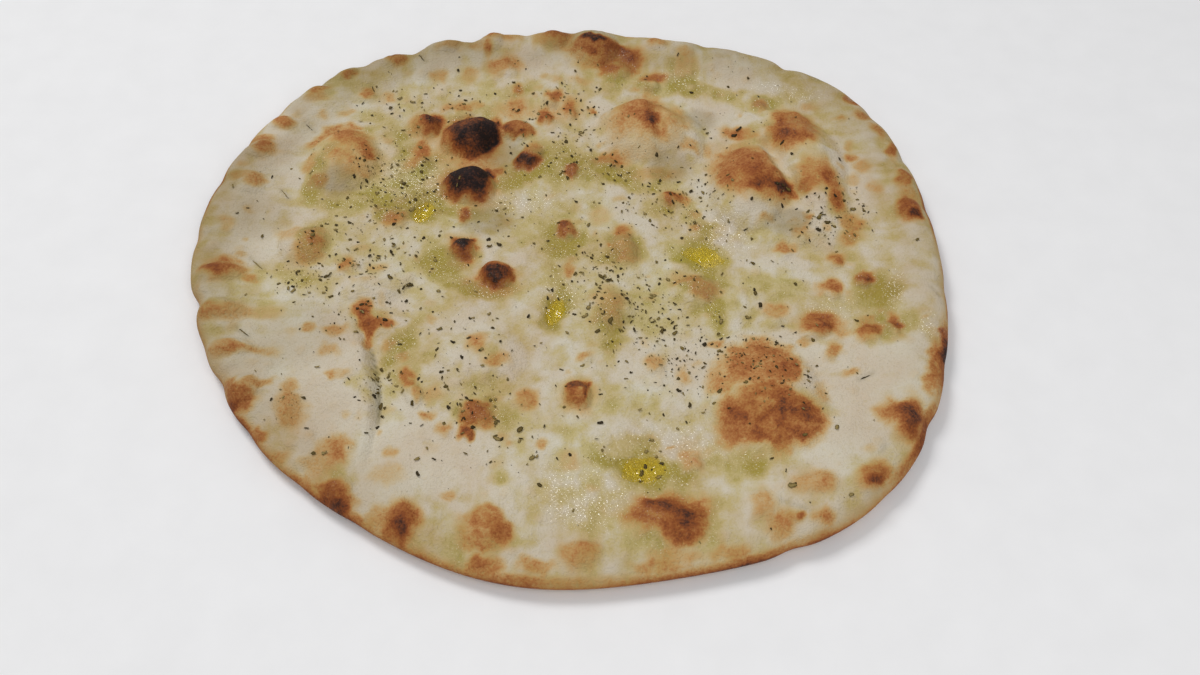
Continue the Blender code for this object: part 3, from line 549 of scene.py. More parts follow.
    (0, 50, 4, 4, 0, 0.62, 0.4), (16, 55.5, 12, 8, 0, 0.4, 0.45), (12, 23, 8, 9.5, -2, 0.22, 0.5),
    (-50.5, 87, 8, 9, 4, 0.44, 0.45), (-57, 86, 7, 5.5, 3, 0.3, 0.5), (-44.5, 89, 7, 5, 0, 0.28, 0.5),
    (-66.5, 59, 9, 12, 4, 0.42, 0.45), (-68.5, 51.5, 9, 8, -15, 0.34, 0.5),
    (-72.5, 18.5, 9, 10.5, -3, 0.38, 0.45), (-44.5, 22, 6, 7.5, 1, 0.46, 0.45),
    (84, 92, 7, 9.5, 6, 0.44, 0.45), (52, 20, 5, 6, -4, 0.34, 0.45), (52.5, 27, 5, 4, -4, 0.26, 0.5),
    (82.5, -24.5, 11, 9, 1, 0.36, 0.45), (58, -41, 6, 4, 1, 0.38, 0.5), (9, -49, 7, 4.5, 0, 0.36, 0.5),
    (35, -50.5, 8, 8, 2, 0.34, 0.45), (45.5, -56, 6, 8, -1, 0.24, 0.5), (-48.5, -77.5, 6, 4, 0, 0.4, 0.5),
    (-88, -8.5, 7, 8.5, -4, 0.46, 0.45), (-76.5, -9, 8, 6.5, 2, 0.3, 0.5),
    (-98, -41.5, 6, 4, -1, 0.28, 0.5), (-88.5, -51.5, 8.5, 6.5, -6, 0.24, 0.5),
    (-85.5, -63.5, 4, 4.5, -6, 0.34, 0.5), (-60, -103.5, 12, 8.5, 0, 0.18, 0.5),
    (-37.5, -111, 5, 4, -2, 0.34, 0.5), (48.5, -92, 9, 11, 0, 0.32, 0.5), (4, -96.5, 7, 8, 0, 0.2, 0.5),
    (0, -7, 4, 9.5, 1, 0.34, 0.45), (118, 84, 5, 4, -14, 0.32, 0.5), (106, 92, 8, 5, -4, 0.26, 0.5),
    (121.5, 67.5, 5, 5.5, -7, 0.28, 0.5), (130, 42, 6.5, 7, -9, 0.24, 0.5),
    (117.5, 22, 10, 10.5, -20, 0.34, 0.5), (120.5, 47, 6, 5, 5, 0.2, 0.5),
    (-94, 92, 7, 7, 14, 0.42, 0.45), (-101, 79.5, 6, 3.5, -3, 0.3, 0.5), (-84, 90, 6, 7.5, -2, 0.34, 0.5),
    (-63.5, 106.5, 8, 8, 3, 0.32, 0.5), (-48.5, 109, 8, 9.5, 2, 0.28, 0.5),
    (-36, 114.5, 15, 8, 3, 0.3, 0.5), (50, 119.5, 13, 14.5, -2, 0.24, 0.5),
    (50, 126.5, 8, 10.5, 2, 0.24, 0.5), (28, 104, 4, 2, -20, 0.3, 0.45), (3, 107, 6, 6, -1, 0.22, 0.5),
    (-83.5, 1, 8, 4, 4, 0.18, 0.5), (-87.5, -41, 9, 5.5, -2, 0.32, 0.6),
    (-67, -46.5, 5.5, 5.5, -49, 0.3, 0.6), (-60, -52, 6, 4, -7, 0.3, 0.6),
    (-58.5, -61, 8.5, 6, -70, 0.44, 0.55), (-57, -65.5, 5.5, 3.5, -69, 0.5, 0.6),
    (-53.5, -68.5, 7, 4, -85, 0.36, 0.6), (-33, -46.5, 11.5, 7.5, -78, 0.36, 0.6),
    (-25, -54, 10, 6, 10, 0.36, 0.6), (-47, -68, 8.5, 7, -21, 0.28, 0.6),
    (-30, -74.5, 9.5, 8, 19, 0.54, 0.5), (-32.5, -79.5, 8, 6, -18, 0.44, 0.55),
    (-33.5, -85, 6.5, 4.5, -69, 0.62, 0.5), (-26, -79, 9, 7.5, 76, 0.42, 0.6),
    (-13, -71, 9.5, 9, 6, 0.4, 0.6), (-42, -84, 6.5, 6, -52, 0.38, 0.6),
    (-59, -94.5, 5.5, 4.5, -23, 0.34, 0.6), (-5.5, -90, 4.5, 4, -86, 0.34, 0.6),
    (-78.5, -94, 13.5, 9, -74, 0.36, 0.6),
    # Crest of the fold
    (-79.5, -30.5, 9, 8, -59, 0.58, 0.5), (-77.5, -35.5, 9.5, 6.5, -89, 0.62, 0.5),
    (-75, -40, 7.5, 5.5, -89, 0.62, 0.5), (-70.5, -36.5, 11, 5, -10, 0.54, 0.5),
    (-75, -45.5, 7.5, 3.5, -89, 0.46, 0.55),
    # Top of the picture
    (7.5, 130.5, 14.5, 6, 0, 0.84, 0.4), (12.5, 126, 37, 11.5, -5, 0.54, 0.45),
    (5.5, 124, 6, 4, -8, 0.6, 0.55), (14, 126, 9, 4.5, 31, 0.52, 0.55),
    (20, 127, 7.5, 7.5, -40, 0.56, 0.55), (24.5, 120, 17, 12, 81, 0.52, 0.5),
    (14.5, 115.5, 12.5, 11, -67, 0.58, 0.5), (10.5, 120, 22.5, 9, 3, 0.34, 0.55),
    (-10.5, 134.5, 20.5, 15.5, -9, 0.42, 0.5), (-10, 135.5, 15, 10.5, 15, 0.38, 0.5),
    (10, 141, 15, 6, -7, -0.5, 0.45), (-42, 125, 9, 6, -83, 0.52, 0.55),
    (-32, 134.5, 10.5, 8, 25, 0.38, 0.55), (-31, 117, 12.5, 10, 24, 0.36, 0.55),
    (-10, 96, 10, 8, 74, 0.6, 0.5), (-13, 82, 11, 7, -87, 0.62, 0.5), (-2, 88, 14, 7.5, -87, 0.52, 0.6),
    (8, 86, 6.5, 3, -89, 0.56, 0.55), (-26.5, 100.5, 6.5, 5, -82, 0.48, 0.55),
    (-26.5, 89, 16, 9.5, -86, 0.36, 0.6), (36, 110.5, 12, 10.5, 21, 0.56, 0.5),
    (37, 133, 10, 7, 11, 0.38, 0.55),
    # Right side and its edge
    (147.5, -40.5, 17.5, 3, 89, 0.72, 0.5), (143, -47.5, 20.5, 8.5, 88, 0.5, 0.55),
    (147.5, -35, 12.5, 4.5, 80, 0.46, 0.55), (138, -59, 11, 5.5, 85, 0.46, 0.55),
    (128, -75, 19.5, 10.5, 77, 0.6, 0.55), (128, -76.5, 11.5, 6.5, 78, 0.6, 0.6),
    (122, -73, 12, 10.5, -84, 0.44, 0.6), (112, -99.5, 13.5, 10, 31, 0.56, 0.5),
    (113, -101, 7, 4.5, 35, 0.62, 0.6), (99.5, -30, 16.5, 11.5, 11, 0.56, 0.45),
    (99, -28, 12.5, 5.5, 4, 0.5, 0.55), (99, -33, 11, 4.5, 11, 0.44, 0.6),
    (118, -33.5, 11.5, 9.5, 41, 0.6, 0.5), (120, -27, 5, 3.5, 17, 0.34, 0.6),
    (129, -30, 10.5, 7, -85, 0.6, 0.5), (129.5, -31.5, 7, 5, 78, 0.54, 0.6),
    (120, -7, 9, 6.5, 18, 0.6, 0.5), (121, -7.5, 6, 3.5, 45, 0.6, 0.6),
    (106, -11.5, 10.5, 9, 51, 0.52, 0.55), (109.5, 4, 8, 7, 27, 0.48, 0.55),
    (103.5, -42.5, 8, 6, 70, 0.44, 0.55), (93.5, -39.5, 5, 4.5, 8, 0.38, 0.6),
    (109, -54, 6, 4.5, 8, 0.26, 0.6), (108.5, -33, 7.5, 6.5, 62, 0.32, 0.6),
    (146.5, -41.5, 20, 4.5, 89, 0.6, 0.5), (140.5, -54, 12.5, 4.5, 88, 0.46, 0.6),
    # Rim, clockwise from the far left
    (-138.5, -13.5, 17, 12, 0, 0.52, 0.45), (-139.5, -14.5, 9, 7, -3, 0.52, 0.6),
    (-130.5, -12.5, 7, 7, 28, 0.42, 0.5), (-126, -16.5, 7, 5.5, 4, 0.4, 0.45),
    (-136.5, -35.5, 11, 7, -1, 0.36, 0.5), (-127.5, -35, 18.5, 7.5, 9, 0.3, 0.5),
    (-115, -34, 14, 7, -2, 0.24, 0.5), (-127, -53, 16, 6.5, -1, 0.4, 0.5),
    (-113, -52.5, 13, 6, 7, 0.24, 0.5), (-118.5, -74, 13.5, 10, 3, 0.52, 0.45),
    (-121, -77, 7, 4.5, 25, 0.62, 0.5), (-113.5, -67.5, 13.5, 4, 23, 0.38, 0.5),
    (-123, -67.5, 7.5, 7, -16, 0.42, 0.5), (-98, -78, 11, 15.5, 15, 0.33, 0.5),
    (-101, -69, 5.5, 10.5, 8, 0.3, 0.5), (-109, -88.5, 8, 6, -2, 0.44, 0.5),
    (-99.5, -97, 10, 7, -1, 0.36, 0.5), (-82.5, -97.5, 13, 19.5, -30, 0.3, 0.45),
    (-88.5, -108, 10.5, 5.5, -5, 0.36, 0.5), (-77, -112.5, 15, 11.5, -35, 0.6, 0.45),
    (-75, -116.5, 9.5, 6.5, -28, 0.56, 0.6), (-53, -121.5, 12, 16, -1, 0.54, 0.45),
    (-53, -123.5, 7, 9, -4, 0.54, 0.6), (-60.5, -121.5, 8.5, 11.5, -4, 0.34, 0.5),
    (-24, -120, 14, 9.5, 0, 0.44, 0.45), (-18, -125, 9, 9.5, 7, 0.48, 0.45),
    (-29, -124, 9.5, 8.5, -7, 0.34, 0.5), (-23, -137, 13, 7, -2, 0.52, 0.45),
    (9, -132.5, 14, 12, -1, 0.31, 0.45), (-6, -137.5, 14, 6, 1, 0.32, 0.5),
    (60, -130, 16, 6, 0, 0.34, 0.5), (36, -136, 20, 5, 0, 0.34, 0.5),
    (72, -111.5, 10, 12.5, -1, 0.32, 0.5), (78, -119, 13, 9.5, 27, 0.34, 0.5),
    (85, -116, 6, 4.5, 4, 0.58, 0.45), (94, -116.5, 9, 6, -1, 0.44, 0.45),
    (91, -103, 15.5, 10.5, -4, 0.34, 0.45), (142.5, 28, 11, 13.5, -2, 0.6, 0.45),
    (144, 24.5, 6.5, 5.5, 8, 0.74, 0.5), (143.5, 36, 9, 9, 3, 0.38, 0.5),
    (142.5, 46, 8, 13.5, -1, 0.54, 0.45), (139.5, 64, 5.5, 13, -5, 0.56, 0.45),
    (134.5, 75.5, 6.5, 9.5, 28, 0.38, 0.5), (128.5, 85, 8.5, 8, 8, 0.34, 0.5),
    (124.5, 95.5, 7, 9, 22, 0.54, 0.45), (-47, 127, 8, 8, -20, 0.26, 0.5),
    (-59, 124.5, 14, 5, 14, 0.28, 0.5), (-83.5, 115, 10.5, 9.5, 11, 0.44, 0.45),
    (-82, 121.5, 12, 4.5, 21, 0.32, 0.5), (-103, 102.5, 7.5, 5, 15, 0.48, 0.5),
    (-115, 91.5, 13, 4.5, 29, 0.4, 0.5), (-115, 87.5, 12, 5.5, 29, 0.28, 0.5),
    (-127.5, 71.5, 8.5, 9, 13, 0.5, 0.45), (-131.5, 75, 8.5, 7, 47, 0.34, 0.5),
    (-133, 53.5, 10, 10, 22, 0.36, 0.45), (-135.5, 60.5, 10, 4.5, 1, 0.34, 0.5),
    (-132.5, 35, 8.5, 6.5, 20, 0.34, 0.5), (-140, 11.5, 7.5, 7.5, 4, 0.28, 0.5),
    (-138, 37, 12, 3.5, -3, 0.26, 0.5),
))
# The outlines wander in waves of two sizes
BROWNED_WANDER = ((1.2, 5.5, 91, 92), (1.1, 2.6, 93, 94))
# Freckles too small to place by hand: how many, how far out they lie, widths, depths, softness
FRECKLES = 240
FRECKLE_REACH = 150
FRECKLE_WIDTHS = (2.0, 5.5)
FRECKLE_ROUNDNESS = (0.6, 1)
FRECKLE_DEPTHS = (0.06, 0.24)
FRECKLE_SOFT = 0.6
FRECKLE_SEED = 71

# Where the oil lies: x, y, length, width, turn, amount. An amount below 0 is where flour keeps it dry
OILED = np.array((
    # Round the pools and the trails that run to them
    (30, -98, 22, 15, 0, 0.5), (15, -94, 14, 8, -30, 0.56), (56, -98, 34, 8, 5, 0.5),
    (-4, -29, 12, 22, -12, 0.75), (-3, -14, 6, 14, 10, 0.5), (53, 3, 26, 14, -24, 0.75),
    (57, 15, 9, 12, 0, 0.5), (55, -18, 8, 18, 35, 0.5), (59, -31, 7, 14, 20, 0.5),
    (-60, 26, 12, 18, -20, 0.75), (-47, 24, 18, 8, 0, 0.5),
    # The middle
    (18, -34, 10, 30, 0, 0.62), (-3, 10, 14, 18, -40, 0.62), (2, 50, 50, 20, 0, 0.5),
    (-26, 43, 20, 13, 30, 0.5), (-75, 25, 18, 12, 0, 0.5), (-73, 63, 9, 18, 0, 0.56),
    (-62, 52, 10, 12, 0, 0.5), (-28, 98, 12, 10, 0, 0.5), (17, 104, 12, 16, 0, 0.5),
    (50, 106, 12, 16, 20, 0.69), (85, 93, 14, 10, 0, 0.5), (-108, 38, 9, 26, -8, 0.69),
    (-95, 28, 22, 14, 0, 0.44), (-32, -19, 30, 10, 0, 0.56), (-49, -6, 24, 20, 0, 0.5),
    (-67, -53, 7, 52, -30, 0.56), (-30, -75, 32, 26, 0, 0.44), (-79, -103, 8, 20, 8, 0.44),
    (124, -11, 22, 22, 0, 0.56), (119, 18, 8, 14, -20, 0.5), (60, -10, 12, 10, 0, 0.5),
    (-10, 70, 24, 20, 0, 0.31), (28, 44, 34, 14, -15, 0.38), (-20, 12, 26, 18, 0, 0.31),
    (30, -88, 22, 8, 0, 0.44), (-70, 36, 34, 40, 0, 0.38), (4, 8, 22, 14, 0, 0.45),
    (-97, -21, 18, 12, -30, 0.5), (33, -19, 20, 18, 0, 0.38), (22, -30, 14, 12, 0, 0.45),
    (85, -12, 20, 16, 0, 0.42), (60, -18, 16, 18, 0, 0.38), (123, -12, 16, 14, 0, 0.35),
    (125, -32, 26, 16, 0, 0.4), (-20, 46, 18, 11, 30, 0.35), (-33, -78, 16, 12, 0, 0.35),
    (19, 120, 18, 18, 0, 0.4), (36, 105, 16, 12, 0, 0.42), (57, 109, 16, 14, 0, 0.45),
    (65, 101, 22, 7, 0, 0.4), (-50, 0, 16, 14, 0, 0.35), (-56, 12, 14, 14, 0, 0.35),
    (-33, -18, 18, 8, 0, 0.35), (27, 12, 9, 18, -20, 0.38), (37, 28, 18, 9, 20, 0.38),
    (52, 22, 9, 16, 20, 0.35), (8, 31, 11, 8, 0, 0.4), (-3, -50, 10, 14, 0, 0.38),
    (115, 31, 14, 14, 0, 0.38), (-55, 82, 24, 8, 20, 0.28), (-85, 68, 18, 14, 0, 0.28),
    (40, 54, 16, 14, 0, 0.34), (-106, 0, 10, 12, 0, 0.35), (-38, 92, 22, 10, 0, 0.28),
    (84, 16, 16, 10, 0, 0.28), (-125, -42, 22, 9, 0, 0.28), (10, -85, 22, 8, 0, 0.28),
    (-60, -62, 9, 22, -20, 0.25), (-20, 102, 16, 8, 0, 0.28), (100, -20, 18, 10, 0, 0.3),
    (110, 5, 14, 12, 0, 0.22), (85, 87, 14, 8, -20, 0.3), (60, -24, 16, 14, 0, 0.35),
    (-42, 0, 12, 10, 0, 0.35), (-28, -17, 24, 9, 0, 0.35), (20, 120, 16, 20, 0, 0.35),
    (-77, -38, 14, 14, 0, 0.4), (23, 0, 14, 16, 0, 0.3), (-6, 17, 14, 10, 0, 0.35),
    (-48, 76, 30, 9, 0, 0.3), (124, -24, 22, 26, 0, 0.25), (76, -92, 40, 10, 0, 0.35),
    (40, -118, 44, 34, 0, 0.35), (-75, -110, 22, 18, 0, 0.35), (96, 76, 24, 20, 0, 0.35),
    (-30, -77, 20, 14, 0, 0.3), (7, -69, 12, 12, 0, 0.35), (-105, 2, 10, 18, 0, 0.3),
    (45, 100, 20, 6, 0, 0.2),
    # Floury places
    (-14, 118, 26, 18, -20, -0.4), (75, 112, 26, 20, 0, -0.35), (66, 83, 36, 14, 0, -0.35),
    (-122, -1, 34, 14, 0, -0.45), (-126, 70, 26, 30, 0, -0.3), (-58, -95, 66, 42, 10, -0.45),
    (-92, -58, 44, 56, 0, -0.45), (-120, -56, 28, 36, 0, -0.4), (40, -50, 42, 24, 0, -0.45),
    (117, -58, 52, 40, 20, -0.45), (100, -85, 30, 20, 0, -0.4), (25, 25, 18, 22, 0, -0.3),
    (86, 0, 20, 12, 0, -0.3), (28, 66, 34, 26, 0, -0.4), (-8, -50, 30, 18, 0, -0.2),
    (88, 22, 30, 14, 0, -0.3), (-20, 80, 26, 12, 0, -0.25), (60, -84, 20, 20, 0, -0.2),
    (-84, -24, 40, 10, 0, -0.25), (78, -42, 46, 17, 0, -0.42), (118, -71, 22, 15, 0, -0.35),
    (-33, -108, 22, 13, 0, -0.4), (-12, -133, 20, 10, 0, -0.3), (62, 90, 20, 12, 0, -0.35),
    (-10, 72, 18, 9, 0, -0.38), (-60, 116, 32, 16, 20, -0.35), (118, 48, 13, 28, 0, -0.35),
    (140, 12, 12, 22, 0, -0.3), (-130, 20, 24, 46, 0, -0.22), (-79, -17, 16, 10, 0, -0.3),
    (-57, -33, 15, 13, 0, -0.28), (45, -56, 14, 15, 0, -0.22), (-106, 82, 22, 22, 0, -0.25),
    (16, 88, 18, 10, 0, -0.22), (-30, 15, 26, 15, 0, -0.25), (-33, -58, 30, 11, 0, -0.22),
    (68, -110, 20, 18, 0, -0.25), (86, 104, 20, 15, 0, -0.28), (48, 130, 16, 14, 0, -0.3),
    (25, 38, 24, 8, -10, -0.25), (58, 34, 9, 24, 0, -0.22), (66, 62, 16, 12, 0, -0.22),
    (66, -46, 26, 12, 0, -0.3), (72, -58, 30, 14, 0, -0.3), (88, 55, 10, 24, 20, -0.3),
    (-84, -72, 30, 26, 0, -0.2), (-56, -96, 24, 14, 0, -0.2), (-92, 4, 10, 12, 0, -0.3),
    (105, -62, 26, 10, 0, -0.25),
    # Domes that took up oil, and tops of large blisters that stayed dry
    (23, 6, 14, 20, 0, 0.35), (50, -10, 16, 11, 0, 0.35), (-104, 2, 14, 14, 0, 0.3),
    (-98, 60, 22, 18, 0, 0.25), (72, 52, 26, 22, 0, -0.3), (72, -48, 26, 16, 0, -0.3),
))
# The patches wander too, and fade over this share of their radius to each side
OILED_WANDER = ((2.0, 8.0, 97, 99), (1.2, 3.4, 98, 100))
OILED_SOFT = 0.5
# Oil all over the crust, and its blots: size of a blot, how much more or less oil, seed
GROUND_OIL = 0.28
BLOTS = ((14.0, 0.16, 81), (6.5, 0.22, 82), (3.2, 0.18, 83), (1.8, 0.1, 84))
# Where the oil still lies wet and glints: x, y, length, width, turn, amount
GLAZED = np.array((
    (12, -109.5, 31.5, 22, -9, 0.9), (35, -90, 36, 18.5, 5, 0.9), (51, -89.5, 21.5, 17.5, 6, 0.4),
    (63.5, 14, 23, 18, -2, 0.8), (131, -12, 18, 7.5, 84, 0.9), (106.5, -22, 20, 10, 5, 0.7),
    (142.5, -33.5, 13.5, 9, 74, 0.8), (97.5, 101, 27.5, 8, -17, 0.6), (48, 111.5, 18.5, 9, 2, 0.8),
    (-2, -22.5, 19.5, 15.5, -82, 0.5), (-65, 42, 27.5, 23, -32, 0.7), (-21, 31, 29.5, 13.5, 1, 0.6),
))
GLAZED_SOFT = 0.6
# The oiliest crust glints too: from what share of oil, over what more, and how much
OILY_FROM = 0.5
OILY_OVER = 0.4
OILY_GLAZE = 0.55
# Noise breaks the film up: how much, size of a wave, seed
GLAZE_BREAK = (0.6, 7.0, 103)
# Painted shade in the hollows, at the feet of domes and on their shaded sides, and below 0 brighter,
# taking painted shade away: x, y, length, width, turn, amount
PAINTED_SHADE_PATCHES = np.array((
    (-31, 59, 20, 20, 0, 0.9), (91, 21, 18, 12, 0, 0.9), (42, 53, 18, 18, 0, 0.8),
    (-34, 19, 20, 16, 0, 0.9), (-99, 37, 14, 14, 0, 0.9), (-126, 17, 22, 22, 0, 0.5),
    (-100, -43, 32, 30, 0, 0.45), (-134, 69, 20, 20, 0, -0.9), (-31, 135, 32, 22, 0, -0.7),
    (34, 136, 32, 22, 0, -0.6), (-124, 87, 30, 26, 0, -0.5), (0, -4, 34, 28, 0, -0.4),
    (-20, -68, 20, 18, 0, -0.6), (56, 83, 15, 13, 0, 0.8), (93, 23, 11, 10, 0, 0.6),
))
PAINTED_SHADE_SOFT = 0.5
# Painted shade on the rim: on average, more at the back and less at the front, less on the right
RIM_PAINTED_SHADE = (0.6, 0.4, 0.25)
# It begins this far in from the edge and is full after this distance
RIM_PAINTED_SHADE_IN = 34.0
RIM_PAINTED_SHADE_OVER = 28.0

# Where the edge itself browned: degrees round, spread in degrees, width, depth
EDGE_BROWNED = (
    (-15, 4.5, 4.5, 0.8), (-20.5, 4.5, 5.5, 0.56), (-8, 5.0, 2.0, 0.5), (12, 9.0, 3.0, 0.58),
    (34, 12.0, 2.5, 0.45), (-33, 9.0, 4.0, 0.55), (-60, 14.0, 2.5, 0.4), (-92, 18.0, 3.5, 0.44),
    (-118, 8.0, 3.0, 0.44), (-142, 14.0, 2.0, 0.36), (-165, 12.0, 2.0, 0.34), (168, 10.0, 3.0, 0.42),
    (145, 14.0, 3.0, 0.42), (120, 12.0, 2.5, 0.4), (88, 9.0, 4.0, 0.6),
)


def spot_strength(x, y, spot, soft):
    """1 in the middle of a turned ellipse, 0 outside, eased from 1 - soft to 1 + soft of its radius."""
    along, across = turned(x, y, spot)
    return 1 - eased((np.hypot(along, across) - 1 + soft) / (2 * soft))


def add_patches(amount, x, y, patches, soft):
    """Adds to amount each patch's own amount times its strength."""
    for patch in patches:
        amount += patch[5] * spot_strength(x, y, patch, soft)


def bake_depth(x, y):
    """How brown the crust is: the cube root of the summed cubes of the spots, less the pale places."""
    wx, wy = wandered(x, y, BROWNED_WANDER)
    cubes = np.zeros_like(x)
    paler = np.zeros_like(x)
    for spot in BROWNED:
        strength = spot_strength(wx, wy, spot, spot[6])
        if spot[5] > 0:
            cubes += (spot[5] * strength) ** 3
        else:
            paler += spot[5] * strength
    draw = np.random.default_rng(FRECKLE_SEED)
    for _ in range(FRECKLES):
        freckle_x, freckle_y = random_place(draw, FRECKLE_REACH)
        wide = draw.uniform(*FRECKLE_WIDTHS)
        freckle = (freckle_x, freckle_y, wide, wide * draw.uniform(*FRECKLE_ROUNDNESS), 0)
        cubes += (draw.uniform(*FRECKLE_DEPTHS) * spot_strength(wx, wy, freckle, FRECKLE_SOFT)) ** 3
    return np.clip(np.cbrt(cubes) + paler, 0, 1)


def oil_share(x, y):
    """How much oil is in the crust: the ground and the patches, blotted by four sizes of noise."""
    amount = np.full_like(x, GROUND_OIL)
    add_patches(amount, *wandered(x, y, OILED_WANDER), OILED, OILED_SOFT)
    for cell, share, seed in BLOTS:
        amount += share * swell(x, y, cell, seed)
    return amount


def painted_shade_share(x, y, inward):
    """How much painted shade darkens the crust: on the rim away from the front, and in the hollows."""
    angle = np.arctan2(y, x)
    mean, back, right = RIM_PAINTED_SHADE
    round_rim = mean + back * np.sin(angle) - right * np.cos(angle)
    amount = round_rim * eased((RIM_PAINTED_SHADE_IN - inward) / RIM_PAINTED_SHADE_OVER)
    add_patches(amount, x, y, PAINTED_SHADE_PATCHES, PAINTED_SHADE_SOFT)
    return np.clip(amount, 0, 1)


def glaze_share(x, y, oil):
    """How wet the film on top is: the glazed patches, and some of the oiliest crust."""
    amount = OILY_GLAZE * eased((oil - OILY_FROM) / OILY_OVER)
    add_patches(amount, x, y, GLAZED, GLAZED_SOFT)
    share, cell, seed = GLAZE_BREAK
    return np.clip(amount * (1 + share * swell(x, y, cell, seed)), 0, 1)


def hex_colour(code):
    """Linear RGBA from an sRGB hex code."""
    parts = [int(code[k : k + 2], 16) / 255 for k in (0, 2, 4)]
    return [c / 12.92 if c <= 0.04045 else ((c + 0.055) / 1.055) ** 2.4 for c in parts] + [1.0]


def add_node(tree, kind, sockets=None, stops=(), **settings):
    """One shader node: sockets holds a value or an output for each input, stops the colours of a ramp.

    Where a node has several sockets of one name they go by number: in a Map Range 1 and 2 are the limits
    of what comes in and 3 and 4 of what goes out, and in a Mix 0 is the share and 6 and 7 the colours.
    """
    made = tree.nodes.new(kind)
    for key, value in settings.items():
        setattr(made, key, value)
    for socket, value in (sockets or {}).items():
        if isinstance(value, bpy.types.NodeSocket):
            tree.links.new(value, made.inputs[socket])
        else:
            made.inputs[socket].default_value = value
    for number, (place, code) in enumerate(stops):
        element = made.color_ramp.elements[number] if number < 2 else made.color_ramp.elements.new(place)
        element.position = place
        element.color = hex_colour(code)
    return made


def new_material(name):
    """An empty Principled material: its tree and its shader."""
    material = bpy.data.materials.new(name)
    material.use_nodes = True
    return material, material.node_tree, material.node_tree.nodes["Principled BSDF"]


# Baked wheat dough: floury and matt where dry. As the bake deepens it goes from pale through gold and
# brown to char, and oil that has soaked in multiplies all of these by a yellow.
BAKE_STOPS = (
    (0.0, "d6cdbd"), (0.16, "d2be9a"), (0.32, "cba671"), (0.45, "bd8651"), (0.56, "ad6f3e"),
    (0.68, "98572e"), (0.79, "7a462b"), (0.88, "543429"), (1.0, "281e1f"),
)
OIL_STOPS = ((0.0, "ffffff"), (0.5, "ece1b1"), (1.0, "c8bb5c"))
CLOUD_STOPS = ((0.3, "f2e9df"), (0.7, "fcfffd"))
STONE_STOPS = ((0.36, "dccdb0"), (0.5, "cfae7c"), (0.57, "a8743f"), (0.64, "6a4026"), (0.76, "3a261c"))
POOL_YELLOW = "b3a00c"
# Olive grey of the painted shade in the slits and the crease
CREASE_SHADE_OLIVE = "6f6440"
# Painted shade darkens the crust by multiplying it with this grey
PAINTED_SHADE_TINT = "d8d2c4"
FLOUR = "d0c3b5"
# Patterns: grain in millimetres, detail, distortion
SKIN_NOISE = (0.9, 1.5, 0.3)
MOTTLE_NOISE = (2.6, 2, 0.4)
CLOUD_NOISE = (26.0, 3, 0.2)
STONE_NOISE = (11.0, 3.5, 0.15)
# Domes of oil, drawn as wide as they need to be to show
PORE_GRAIN = 1.5
# How far the grains push the bake where it is pale and from half brown on
MOTTLE_PALE = 0.12
MOTTLE_BROWN = 0.4
# How much more oil sinks into the lows of the grain
OIL_IN_LOWS = -0.45
# Dryness at which flour is thickest, and how much of the brown it then veils
FLOUR_DRY = -0.3
FLOUR_VEIL = 0.3
# Oil yellows pale crust in full and crust of this bake and more only so much
CHAR_FROM = 0.55
CHAR_YELLOW = 0.3
# Roughness of dry crust and of glazed crust
DRY_ROUGH = 0.72
WET_ROUGH = 0.45
# Heights of the wrinkles and of the oil's domes, how much the domes dent the crust under them, and how
# uneven the mottle makes them
BUMP_HIGH = 0.42
BEAD_HIGH = 0.68
BEAD_DENT = -0.12
BEAD_UNEVEN = 0.4


